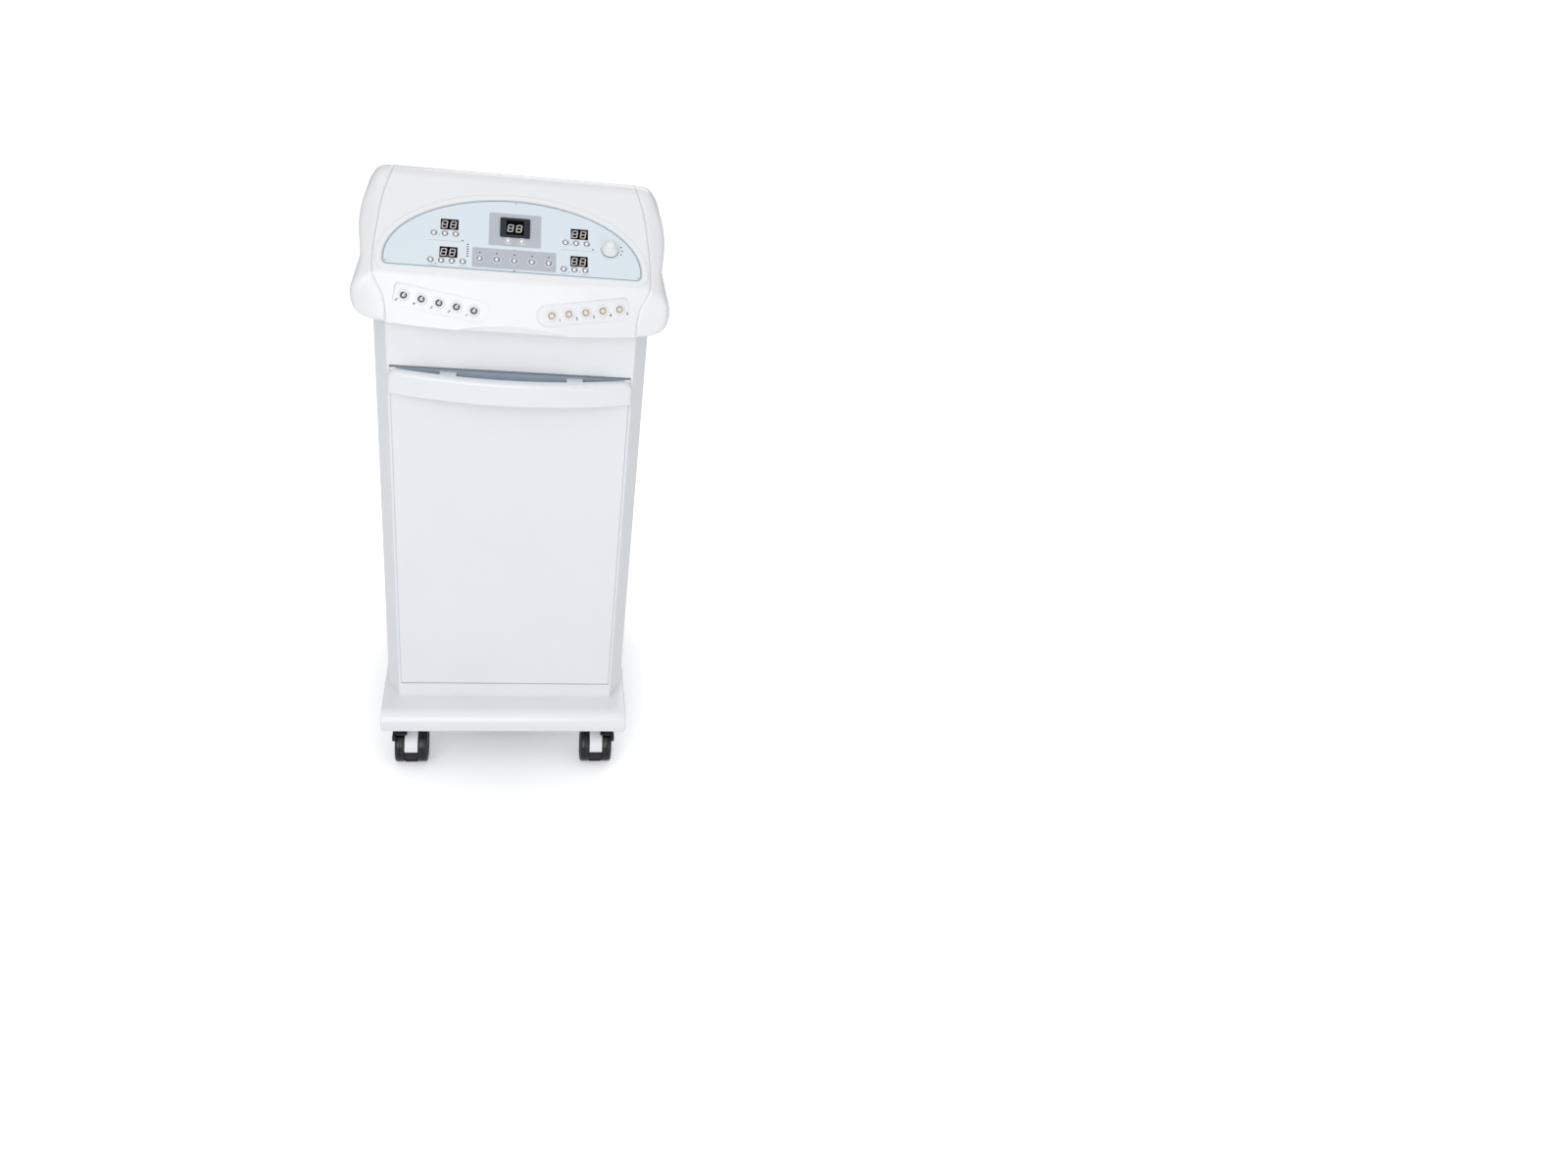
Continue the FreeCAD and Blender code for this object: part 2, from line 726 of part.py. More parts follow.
def console_body(inset):
    """Outer form of the console, or the form of its hollow where an inset is given."""
    points = console_profile(inset)
    half = bulge_half_width + side_round_drop
    desk = across(slab(polygon(points), -half, half))
    front_y, front_z = points[0]
    overlap = front_y + console_wall
    foot = bowed_outline(half, apron_foot_y(0) + inset, apron_foot_y(half) + inset, overlap)
    foot.translate(V(0, 0, console_bottom))
    fold = straight_outline(half, front_y, overlap)
    fold.translate(V(0, 0, front_z))
    body = fused([Part.makeLoft([foot, fold], True, True), desk])
    ridges = (points[0] + (fold_radius,), points[1] + (crest_radius,), points[2] + (rear_fold_radius,))
    for y, z, radius in ridges:
        ridge = edges_where(body, lambda p: abs(p.y - y) < 0.1 and abs(p.z - z) < 0.1)
        body = body.makeFillet(radius - inset, ridge)
    trims = [console_front_view(inset), console_plan_view(inset), on_desk(long_edge_view(inset)),
             on_roof(long_edge_view(inset))]
    for trim in trims:
        body = body.common(trim)
    return body


def seam_solid(gap):
    """The part of the console between its two seams, widened by a gap."""
    points = [(seam_foot + gap, console_bottom - 1), (seam_knee + gap, seam_knee_height),
              (seam_fold + gap, seam_fold_height), (seam_desk + gap, seam_desk_height),
              (seam_top + gap, seam_top_height)]
    tangents = [(0.05, 1), (0.4, 1), (0.1, 1), (-0.15, 1), (-0.42, 1)]
    return front_outline_solid(side_curve(points, tangents))


def arch_cutter(wall):
    """Shallow arch in the apron's foot; a wall thickness moves it outwards on every side."""
    half = arch_width / 2 + wall
    high = V(0, console_bottom + arch_rise + wall, 0)
    left = V(-half, console_bottom, 0)
    right = V(half, console_bottom, 0)
    below = V(0, -1, 0)
    outline = Part.Wire([Part.Arc(left, high, right).toShape(), Part.makeLine(right, right + below),
                         Part.makeLine(right + below, left + below), Part.makeLine(left + below, left)])
    back = apron_foot_y(0) + arch_recess + wall
    return upright(slab(outline, -back, 2 * apron_reach - cabinet_front))


def panel_outline(margin):
    """Half-moon outline of the control panel, grown by a margin, above its lower edge."""
    half = panel_half_width + margin
    radius = panel_corner_radius + margin
    start = V(half, panel_straight_side, 0)
    finish = V(-half, panel_straight_side, 0)
    ellipse = Part.Ellipse(V(0, panel_straight_side, 0), half, panel_arc_rise + margin)
    arch = Part.ArcOfEllipse(ellipse, 0, math.pi).toShape()
    right = Part.makeCircle(radius, V(half - radius, radius - margin, 0), V(0, 0, 1), 270, 360)
    left = Part.makeCircle(radius, V(radius - half, radius - margin, 0), V(0, 0, 1), 180, 270)
    return Part.Wire([arch, Part.makeLine(finish, V(-half, radius - margin, 0)), left,
                      Part.makeLine(V(radius - half, -margin, 0), V(half - radius, -margin, 0)), right,
                      Part.makeLine(V(half, radius - margin, 0), start)])


def on_tray(shape, side):
    """Move a shape from tray coordinates (out along the row, up the apron, out of it) to a side."""
    row_x = socket_first + (socket_count - 1) / 2 * socket_pitch
    share = (fold_height - socket_row_height) / (fold_height - console_bottom)
    reach = fold_y - apron_foot_y(row_x)
    bow_slope = (apron_foot_y(row_x + 1) - apron_foot_y(row_x - 1)) / 2 * share
    tilt = math.degrees(math.atan2(fold_height - console_bottom, reach))
    yaw = FreeCAD.Rotation(V(0, 0, 1), math.degrees(math.atan(bow_slope)))
    lean = FreeCAD.Rotation(V(1, 0, 0), tilt)
    slant = FreeCAD.Rotation(V(0, 0, 1), socket_slant)
    turn = yaw.multiply(lean).multiply(slant)
    place = FreeCAD.Placement(V(row_x, fold_y - reach * share, socket_row_height), turn)
    shape.Placement = place.multiply(shape.Placement)
    return shape if side > 0 else mirrored(shape)


def tray_outline(margin):
    """Lozenge outline of a socket tray: round at the inner end, square at the outer end."""
    half_row = (socket_count - 1) / 2 * socket_pitch
    half_width = tray_width / 2 + margin
    inner = -half_row - tray_inner_overrun + tray_width / 2
    outer = half_row + tray_outer_overrun + margin
    radius = tray_corner_radius + margin
    round_end = Part.Arc(V(inner, half_width, 0), V(inner - half_width, 0, 0),
                         V(inner, -half_width, 0)).toShape()
    low = Part.makeCircle(radius, V(outer - radius, radius - half_width, 0), V(0, 0, 1), 270, 360)
    high = Part.makeCircle(radius, V(outer - radius, half_width - radius, 0), V(0, 0, 1), 0, 90)
    return Part.Wire([round_end, Part.makeLine(V(inner, -half_width, 0), V(outer - radius, -half_width, 0)),
                      low, Part.makeLine(V(outer, radius - half_width, 0), V(outer, half_width - radius, 0)),
                      high, Part.makeLine(V(outer - radius, half_width, 0), V(inner, half_width, 0))])


def socket_rows():
    """Places of a tray's sockets along its row."""
    return [(index - (socket_count - 1) / 2) * socket_pitch for index in range(socket_count)]


def make_console_skin():
    """All three console mouldings as one skin, with the panel seat, the rim and the trays."""
    hollow = console_body(console_wall).cut(arch_cutter(console_wall))
    outer = console_body(0).cut(arch_cutter(0))
    rim = slab(panel_outline(rim_width), -console_wall / 2, rim_height)
    rim = rim.makeFillet(rim_height - 0.1, edges_where(rim, lambda p: p.z > rim_height - 0.1))
    rim.translate(V(0, panel_from_fold, 0))
    outer = outer.fuse(on_desk(rim))
    cuts = [slab(panel_outline(panel_edge_gap), -panel_seat_depth, 2 * rim_height),
            slab(panel_outline(-panel_ledge), -2 * board_depth, 2 * rim_height)]
    for cut in cuts:
        cut.translate(V(0, panel_from_fold, 0))
        outer = outer.cut(on_desk(cut))
    for side in (-1, 1):
        floor = slab(tray_outline(tray_floor), -tray_depth - tray_floor, tray_depth)
        hollow = hollow.cut(on_tray(floor, side))
        outer = outer.cut(on_tray(slab(tray_outline(0), -tray_depth, 3 * tray_depth), side))
        for place in socket_rows():
            hole = bar(socket_barrel_radius, V(place, 0, -socket_barrel_length), V(place, 0, tray_depth))
            outer = outer.cut(on_tray(hole, side))
    return outer.cut(hollow)


def make_console_shells(skin):
    """Centre shell and the two end caps, parted at the seams."""
    centre = skin.common(seam_solid(0)).cut(Part.makeCompound(panel_screws()))
    caps = skin.cut(seam_solid(shell_gap)).Solids
    left = [cap for cap in caps if cap.CenterOfMass.x < -seam_foot]
    right = [cap for cap in caps if cap.CenterOfMass.x > seam_foot]
    return centre.Solids[0], left[0], right[0]


def make_console_floor():
    """Floor plate that closes the console and rests on the cabinet."""
    high = console_bottom + console_floor_thickness
    slice_box = box(-bulge_half_width, bulge_half_width, -base_depth, base_depth, console_bottom, high)
    floor = console_body(console_wall).cut(arch_cutter(console_wall)).common(slice_box)
    slot = box(-cable_slot[0] / 2, cable_slot[0] / 2, cable_slot_y - cable_slot[1] / 2,
               cable_slot_y + cable_slot[1] / 2, console_bottom - 1, high + 1)
    return floor.cut(slot)


# Control panel

def button_places():
    """Button centres on the panel by name, right and up from the middle of its lower edge."""
    places = {}
    for group, (columns, row) in button_groups.items():
        for number, column in enumerate(columns, 1):
            places[f"{group}_button_{number}"] = (column, row)
    return places


def digit_places():
    """Centres of the four small displays."""
    return [(side * digit_column, row) for side in (-1, 1) for row in digit_rows]


def centred_box(place, size, low, high):
    """Block of a given width and height about a place on the panel."""
    u, v = place
    return box(u - size[0] / 2, u + size[0] / 2, v - size[1] / 2, v + size[1] / 2, low, high)


def panel_screws():
    """Small screws that hold the panel at its lower corners and at the top of its arc."""
    top = panel_straight_side + panel_arc_rise - panel_ledge / 2
    side = panel_half_width - panel_ledge / 2 - panel_screw_head_radius
    screws = []
    for u, v in ((-side, panel_straight_side / 2), (side, panel_straight_side / 2), (0, top)):
        head = bar(panel_screw_head_radius, V(u, v, 0), V(u, v, panel_screw_head_height))
        shank = bar(panel_screw_shank_radius, V(u, v, -panel_screw_length), V(u, v, 0))
        screws.append(on_panel(head.fuse(shank)))
    return screws


def make_control_panel():
    """Half-moon panel plate with its windows and holes."""
    plate = slab(panel_outline(0), -panel_thickness, 0)
    low = -2 * panel_thickness
    for place in digit_places():
        plate = plate.cut(centred_box(place, digit_window, low, 1))
    plate = plate.cut(centred_box((0, main_display_row), main_window, low, 1))
    for u, v in button_places().values():
        plate = plate.cut(bar(guide_tube_radius, V(u, v, low), V(u, v, 1)))
    u, v = knob_place
    plate = plate.cut(bar(knob_bush_radius, V(u, v, low), V(u, v, 1)))
    return on_panel(plate).cut(Part.makeCompound(panel_screws()))


def make_digit_displays():
    """Four two-digit displays that stand on the display board."""
    return Part.makeCompound([on_panel(centred_box(place, digit_window, -board_depth, digit_proud))
                              for place in digit_places()])


def make_main_display():
    """Framed display in the middle of the panel."""
    place = (0, main_display_row)
    body = centred_box(place, main_window, -board_depth, main_frame_height)
    frame = centred_box(place, main_frame_size, 0, main_frame_height)
    upright_corners = [e for e in frame.Edges if e.BoundBox.ZLength > main_frame_height - 0.1]
    frame = frame.makeFillet(main_frame_radius, upright_corners)
    sunk = centred_box(place, (main_window[0] - 2, main_window[1] - 2),
                       main_frame_height - main_window_sink, main_frame_height + 1)
    return on_panel(frame.fuse(body).removeSplitter().cut(sunk))


def make_button_guides():
    """Clear guide rings that the buttons slide in."""
    guides = []
    for u, v in button_places().values():
        flange = bar(guide_flange_radius, V(u, v, 0), V(u, v, guide_height))
        tube = bar(guide_tube_radius, V(u, v, -panel_thickness), V(u, v, 0))
        bore = bar(button_radius + running_clearance, V(u, v, -panel_thickness - 1),
                   V(u, v, guide_height + 1))
        guides.append(on_panel(flange.fuse(tube).removeSplitter().cut(bore)))
    return Part.makeCompound(guides)


def make_button(place):
    """Domed cap with a retaining flange under the panel and a stem above its switch."""
    u, v = place
    flange_top = -panel_thickness - seat_gap
    flange_low = flange_top - button_flange_thickness
    foot = switch_height - board_depth + button_travel + seat_gap
    cap = bar(button_radius, V(u, v, flange_low), V(u, v, button_rise))
    rim = edges_where(cap, lambda p: p.z > button_rise - 0.01)
    cap = cap.makeFillet(button_dome, rim)
    flange = bar(button_flange_radius, V(u, v, flange_low), V(u, v, flange_top))
    stem = bar(button_stem_radius, V(u, v, foot), V(u, v, flange_low + 0.1))
    return on_panel(fused([cap, flange, stem]))


def make_mode_knob():
    """Round knob with a raised finger ridge and a shaft that turns in the switch bush."""
    u, v = knob_place
    body = bar(knob_radius, V(u, v, knob_lift), V(u, v, knob_height))
    body = body.makeFillet(knob_edge_radius, edges_where(body, lambda p: p.z > knob_height - 0.1))
    ridge = centred_box(knob_place, (knob_grip_width, 2 * knob_radius - 4), knob_height - 1,
                        knob_height + knob_grip_height)
    ridge = ridge.makeFillet(1.5, edges_where(ridge, lambda p: p.z > knob_height + knob_grip_height - 0.1))
    shaft = bar(knob_shaft_radius, V(u, v, -knob_shaft_length), V(u, v, knob_lift + 0.1))
    return on_panel(fused([body, ridge, shaft]))


def make_display_board():
    """Board under the panel with a push switch below each button and the rotary switch."""
    board = slab(panel_outline(-panel_ledge), -board_depth - board_thickness, -board_depth)
    pieces = [board]
    for u, v in button_places().values():
        pieces.append(centred_box((u, v), (switch_width, switch_width), -board_depth - 0.1,
                                  switch_height - board_depth))
    u, v = knob_place
    rotary = centred_box(knob_place, (rotary_width, rotary_width), -board_depth - 0.1,
                         rotary_height - board_depth)
    pieces.append(rotary)
    pieces.append(bar(knob_bush_radius, V(u, v, rotary_height - board_depth - 0.1), V(u, v, 0)))
    for u_peg, v_peg in board_peg_places:
        for side in (-1, 1):
            pieces.append(bar(board_peg_radius, V(side * u_peg, v_peg, -board_depth - 0.1),
                              V(side * u_peg, v_peg, -panel_thickness)))
    bore = bar(knob_shaft_radius + running_clearance, V(u, v, -knob_shaft_length - seat_gap), V(u, v, 1))
    return on_panel(fused(pieces).cut(bore))


def make_main_board():
    """Control board on four pillars above the console floor, with its tall components."""
    floor = console_bottom + console_floor_thickness
    low = floor + main_board_lift
    width, depth = main_board_size
    x = 0
    y = cable_slot_y - cable_slot[1] / 2 - main_board_setback - depth / 2
    pieces = [box(x - width / 2, x + width / 2, y - depth / 2, y + depth / 2, low, low + board_thickness)]
    for sx in (-1, 1):
        for sy in (-1, 1):
            corner = V(x + sx * (width / 2 - 8), y + sy * (depth / 2 - 8), floor)
            pieces.append(bar(board_peg_radius, corner, corner + V(0, 0, main_board_lift + 0.1)))
    for number in range(main_board_relays):
        relay_x = x - width / 2 + (number + 0.5) * width / main_board_relays
        pieces.append(box(relay_x - 9, relay_x + 9, y + 10, y + 34, low, low + 16))
    pieces.append(box(x - 30, x + 30, y - 45, y - 10, low, low + 6))
    return fused(pieces)


# Sockets

def make_sockets(side, contacts):
    """A row of round sockets, each with a shallow mouth and a ring of contact holes."""
    sockets = []
    floor = -tray_depth
    face = floor + socket_flange_height
    for place in socket_rows():
        flange = bar(socket_flange_radius, V(place, 0, floor), V(place, 0, face))
        barrel = bar(socket_barrel_radius, V(place, 0, floor - socket_barrel_length + tray_depth),
                     V(place, 0, floor + 0.1))
        body = flange.fuse(barrel).removeSplitter()
        body = body.cut(bar(socket_mouth_radius, V(place, 0, face - socket_mouth_depth),
                            V(place, 0, face + 1)))
        for number in range(contacts):
            angle = 2 * math.pi * (number + 0.5) / contacts
            x = place + contact_circle * math.cos(angle)
            y = contact_circle * math.sin(angle)
            body = body.cut(bar(contact_radius, V(x, y, face - socket_mouth_depth - contact_depth),
                                V(x, y, face)))
        sockets.append(on_tray(body, side))
    return Part.makeCompound(sockets)


# Machine bay

def outlet_places():
    """Centres of the air outlets on the rear panel, as (x, z)."""
    places = []
    for row in range(outlet_rows):
        for column in range(outlet_columns):
            x = (column - (outlet_columns - 1) / 2) * outlet_pitch
            z = outlet_height + (row - (outlet_rows - 1) / 2) * outlet_row_pitch
            places.append((x, z))
    return places


def make_partition():
    """Upright wall between the storage bay and the machine bay."""
    return box(-bay_half_width, bay_half_width, partition_y, partition_y + partition_thickness,
               base_top, console_bottom)


def rear_screws():
    """Screws of the rear panel and of the fan, heads outside."""
    x_side = bay_half_width - rear_flange_width / 2
    places = [(side * x_side, z) for side in (-1, 1) for z in rear_screw_heights]
    half = fan_screw_pitch / 2
    places += [(fan_x + sx * half, fan_z + sz * half) for sx in (-1, 1) for sz in (-1, 1)]
    face = rear_panel_front + rear_panel_thickness
    screws = []
    for x, z in places:
        head = bar(screw_head_radius, V(x, face, z), V(x, face + screw_head_height, z))
        shank = bar(screw_shank_radius, V(x, face - screw_length, z), V(x, face, z))
        screws.append(head.fuse(shank).removeSplitter())
    return screws


def make_rear_panel():
    """Removable steel panel with the fan grille, vent slots and cut-outs."""
    half = bay_half_width - rear_panel_gap
    face = rear_panel_front + rear_panel_thickness
    panel = box(-half, half, rear_panel_front, face, base_top + rear_panel_gap,
                console_bottom - rear_panel_gap)
    cuts = []
    slots = int(fan_throat_radius / vent_pitch)
    for number in range(-slots, slots + 1):
        rise = number * vent_pitch
        half_slot = math.sqrt(fan_throat_radius ** 2 - rise ** 2) - vent_slot[1] / 2
        cuts.append(box(fan_x - half_slot, fan_x + half_slot, rear_panel_front - 1, face + 1,
                        fan_z + rise - vent_slot[1] / 2, fan_z + rise + vent_slot[1] / 2))
    for number in range(vent_rows):
        z = vent_height + number * vent_pitch
        cuts.append(box(vent_x - vent_slot[0] / 2, vent_x + vent_slot[0] / 2, rear_panel_front - 1,
                        face + 1, z - vent_slot[1] / 2, z + vent_slot[1] / 2))
    for x, z in outlet_places():
        cuts.append(bar(outlet_radius, V(x, rear_panel_front - 1, z), V(x, face + 1, z)))
    cuts.append(box(inlet_x - inlet_body[0] / 2, inlet_x + inlet_body[0] / 2, rear_panel_front - 1,
                    face + 1, inlet_z - inlet_body[1] / 2, inlet_z + inlet_body[1] / 2))
    return panel.cut(cuts + rear_screws())


def make_air_outlets():
    """Hose nipples with a collar outside the rear panel and a thread in the manifold."""
    face = rear_panel_front + rear_panel_thickness
    nipples = []
    for x, z in outlet_places():
        root = V(x, rear_panel_front - outlet_thread_length, z)
        tip = V(x, face + outlet_length, z)
        shoulder = V(x, face + outlet_length - outlet_tip_length, z)
        tube = bar(outlet_radius, root, shoulder)
        taper = Part.makeCone(outlet_radius, outlet_tip_radius, outlet_tip_length, shoulder, V(0, 1, 0))
        collar = bar(outlet_collar_radius, V(x, face, z), V(x, face + outlet_collar_length, z))
        nipple = fused([tube, taper, collar])
        nipples.append(nipple.cut(bar(outlet_bore_radius, root - V(0, 1, 0), tip + V(0, 1, 0))))
    return Part.makeCompound(nipples)


def manifold_bounds():
    """Half width, low and high of the manifold block."""
    half = (outlet_columns - 1) / 2 * outlet_pitch + manifold_margin
    rise = (outlet_rows - 1) / 2 * outlet_row_pitch + manifold_margin
    return half, outlet_height - rise, outlet_height + rise


def make_manifold():
    """Block behind the rear panel that feeds every outlet, with the hose spigot below it."""
    half, low, high = manifold_bounds()
    block = box(-half, half, rear_panel_front - manifold_depth, rear_panel_front, low, high)
    ports = [bar(outlet_radius, V(x, rear_panel_front - outlet_thread_length, z),
                 V(x, rear_panel_front + 1, z)) for x, z in outlet_places()]
    spigot = bar(hose_spigot_radius, V(compressor_x, hose_y, low - hose_spigot_length),
                 V(compressor_x, hose_y, low + 1))
    return block.cut(ports).fuse(spigot).removeSplitter()


def make_valves():
    """Solenoid valves in front of the manifold, one for each column of outlets."""
    width, depth, height = valve_size
    back = rear_panel_front - manifold_depth
    valves = []
    for column in range(outlet_columns):
        x = (column - (outlet_columns - 1) / 2) * outlet_pitch
        body = box(x - width / 2, x + width / 2, back - depth, back, outlet_height - height / 2,
                   outlet_height + height / 2)
        coil = bar(width / 2 - 2, V(x, back - depth / 2, outlet_height + height / 2 - 1),
                   V(x, back - depth / 2, outlet_height + height / 2 + valve_coil_height))
        valves.append(body.fuse(coil).removeSplitter())
    return Part.makeCompound(valves)


def compressor_floor():
    """Height of the compressor's underside."""
    return base_top + compressor_foot_height


def make_compressor():
    """Twin-head diaphragm compressor with its outlet spigot on top."""
    width, depth, height = compressor_size
    low = compressor_floor()
    body = box(compressor_x - width / 2, compressor_x + width / 2, compressor_y - depth / 2,
               compressor_y + depth / 2, low, low + height)
    body = body.makeFillet(compressor_edge_radius, body.Edges)
    middle = low + height / 2
    pieces = [body]
    for side in (-1, 1):
        face = compressor_x + side * width / 2
        pieces.append(bar(compressor_head_radius, V(face - side * compressor_edge_radius, compressor_y, middle),
                          V(face + side * compressor_head_length, compressor_y, middle)))
    pieces.append(bar(hose_spigot_radius, V(compressor_x, hose_y, low + height - 1),
                      V(compressor_x, hose_y, low + height + hose_spigot_length)))
    return fused(pieces)


def make_compressor_feet():
    """Rubber feet between the compressor and the base plate."""
    width, depth, _ = compressor_size
    feet = []
    for sx in (-1, 1):
        for sy in (-1, 1):
            x = compressor_x + sx * (width / 2 - compressor_foot_inset)
            y = compressor_y + sy * (depth / 2 - compressor_foot_inset)
            feet.append(bar(compressor_foot_radius, V(x, y, base_top), V(x, y, compressor_floor())))
    return Part.makeCompound(feet)


def make_air_hose():
    """Hose pushed over the compressor's and the manifold's spigots."""
    low = compressor_floor() + compressor_size[2]
    high = manifold_bounds()[1]
    outer = bar(hose_radius, V(compressor_x, hose_y, low), V(compressor_x, hose_y, high))
    return outer.cut(bar(hose_spigot_radius, V(compressor_x, hose_y, low - 1),
                         V(compressor_x, hose_y, high + 1)))


def make_transformer():
    """Mains transformer: laminated core with its winding."""
    width, depth, height = transformer_size
    core = box(transformer_x - width / 2, transformer_x + width / 2, transformer_y - depth / 2,
               transformer_y + depth / 2, base_top, base_top + height)
    reach = depth / 2 + transformer_coil_bulge
    coil = box(transformer_x - width / 4, transformer_x + width / 4, transformer_y - reach,
               transformer_y + reach, base_top + height / 6, base_top + height * 5 / 6)
    return core.fuse(coil).removeSplitter()


def rocker_middle():
    """Pivot of the power rocker."""
    face = rear_panel_front + rear_panel_thickness + inlet_flange_thickness
    return V(inlet_x, face - rocker_pivot_depth, inlet_z + rocker_rise)


def make_mains_inlet():
    """Mains inlet module: flange, three-pin socket and the rocker's pocket."""
    face = rear_panel_front + rear_panel_thickness + inlet_flange_thickness
    back = face - inlet_depth
    body = box(inlet_x - inlet_body[0] / 2, inlet_x + inlet_body[0] / 2, back, face,
               inlet_z - inlet_body[1] / 2, inlet_z + inlet_body[1] / 2)
    flange = box(inlet_x - inlet_flange[0] / 2, inlet_x + inlet_flange[0] / 2,
                 face - inlet_flange_thickness, face,
                 inlet_z - inlet_flange[1] / 2, inlet_z + inlet_flange[1] / 2)
    module = body.fuse(flange).removeSplitter()
    socket_z = inlet_z - inlet_socket_drop
    floor = face - inlet_socket_depth
    cavity = box(inlet_x - inlet_socket[0] / 2, inlet_x + inlet_socket[0] / 2, floor, face + 1,
                 socket_z - inlet_socket[1] / 2, socket_z + inlet_socket[1] / 2)
    pivot = rocker_middle()
    reach = rocker_pocket_height / 2
    half = rocker_size[0] / 2 + rocker_play
    pocket = box(pivot.x - half, pivot.x + half, face - rocker_pocket_depth, face + 1,
                 pivot.z - reach, pivot.z + reach)
    pin_half = V(half + rocker_pin_length, 0, 0)
    pin_hole = bar(rocker_pivot_radius + running_clearance, pivot - pin_half, pivot + pin_half)
    module = module.cut([cavity, pocket, pin_hole])
    pins = []
    for dx, dz in ((-inlet_pin_spread, -2.0), (0.0, 2.0), (inlet_pin_spread, -2.0)):
        pins.append(box(inlet_x + dx - inlet_pin[0] / 2, inlet_x + dx + inlet_pin[0] / 2, floor - 1,
                        floor + inlet_pin[2], socket_z + dz - inlet_pin[1] / 2,
                        socket_z + dz + inlet_pin[1] / 2))
    return fused([module] + pins)


def make_power_rocker():
    """Rocker with a shallow V face, resting with its lower half pressed in."""
    pivot = rocker_middle()
    half_height = rocker_size[1] / 2 - 0.5
    back = -rocker_depth / 2
    outline = polygon([(back, -half_height + 1.5), (rocker_pivot_depth + 1.5, -half_height),
                       (rocker_pivot_depth, 0), (rocker_pivot_depth + 1.5, half_height),
                       (back, half_height - 1.5)])
    half = rocker_size[0] / 2
    body = across(slab(outline, -half, half))
    pin = bar(rocker_pivot_radius, V(-half - rocker_pin_length + rocker_play, 0, 0),
              V(half + rocker_pin_length - rocker_play, 0, 0))
    rocker = fused([body, pin])
    rocker.Placement = FreeCAD.Placement(pivot, FreeCAD.Rotation(V(1, 0, 0), -rocker_tilt))
    return rocker


def make_fan_frame():
    """Square fan frame with a round throat, four spokes and the rotor's pin."""
    front = rear_panel_front - fan_depth
    half = fan_size / 2
    frame = box(fan_x - half, fan_x + half, front, rear_panel_front, fan_z - half, fan_z + half)
    frame = frame.cut(bar(fan_throat_radius, V(fan_x, front - 1, fan_z),
                          V(fan_x, rear_panel_front + 1, fan_z)))
    spoke_back = front + fan_spoke_thickness
    pieces = [frame]
    reach = fan_throat_radius + 1
    wide = fan_spoke_width / 2
    pieces.append(box(fan_x - reach, fan_x + reach, front, spoke_back, fan_z - wide, fan_z + wide))
    pieces.append(box(fan_x - wide, fan_x + wide, front, spoke_back, fan_z - reach, fan_z + reach))
    pieces.append(bar(fan_hub_radius, V(fan_x, front, fan_z), V(fan_x, spoke_back, fan_z)))
    pieces.append(bar(fan_pin_radius, V(fan_x, spoke_back - 1, fan_z),
                      V(fan_x, rear_panel_front - 3 * fan_rotor_gap, fan_z)))
    return fused(pieces).cut(rear_screws())


def make_fan_rotor():
    """Hub with pitched blades that spins on the frame's pin."""
    front = rear_panel_front - fan_depth + fan_spoke_thickness + fan_rotor_gap
    back = rear_panel_front - fan_rotor_gap
    middle = (front + back) / 2
    hub = bar(fan_hub_radius, V(fan_x, front, fan_z), V(fan_x, back, fan_z))
    pieces = [hub]
    tip = fan_throat_radius - fan_tip_gap
    chord = (back - front) / math.cos(math.radians(fan_blade_pitch)) - 2 * fan_blade_thickness
    swept = bar(tip, V(0, front - middle, 0), V(0, back - middle, 0))
    for number in range(fan_blades):
        blade = box(0, tip + 5, -chord / 2, chord / 2, -fan_blade_thickness / 2, fan_blade_thickness / 2)
        blade.rotate(V(0, 0, 0), V(1, 0, 0), fan_blade_pitch)
        blade.rotate(V(0, 0, 0), V(0, 1, 0), 360.0 * number / fan_blades)
        blade = blade.common(swept)
        blade.translate(V(fan_x, middle, fan_z))
        pieces.append(blade)
    rotor = fused(pieces)
    return rotor.cut(bar(fan_pin_radius + running_clearance, V(fan_x, front - 1, fan_z),
                         V(fan_x, back - fan_rotor_gap, fan_z)))


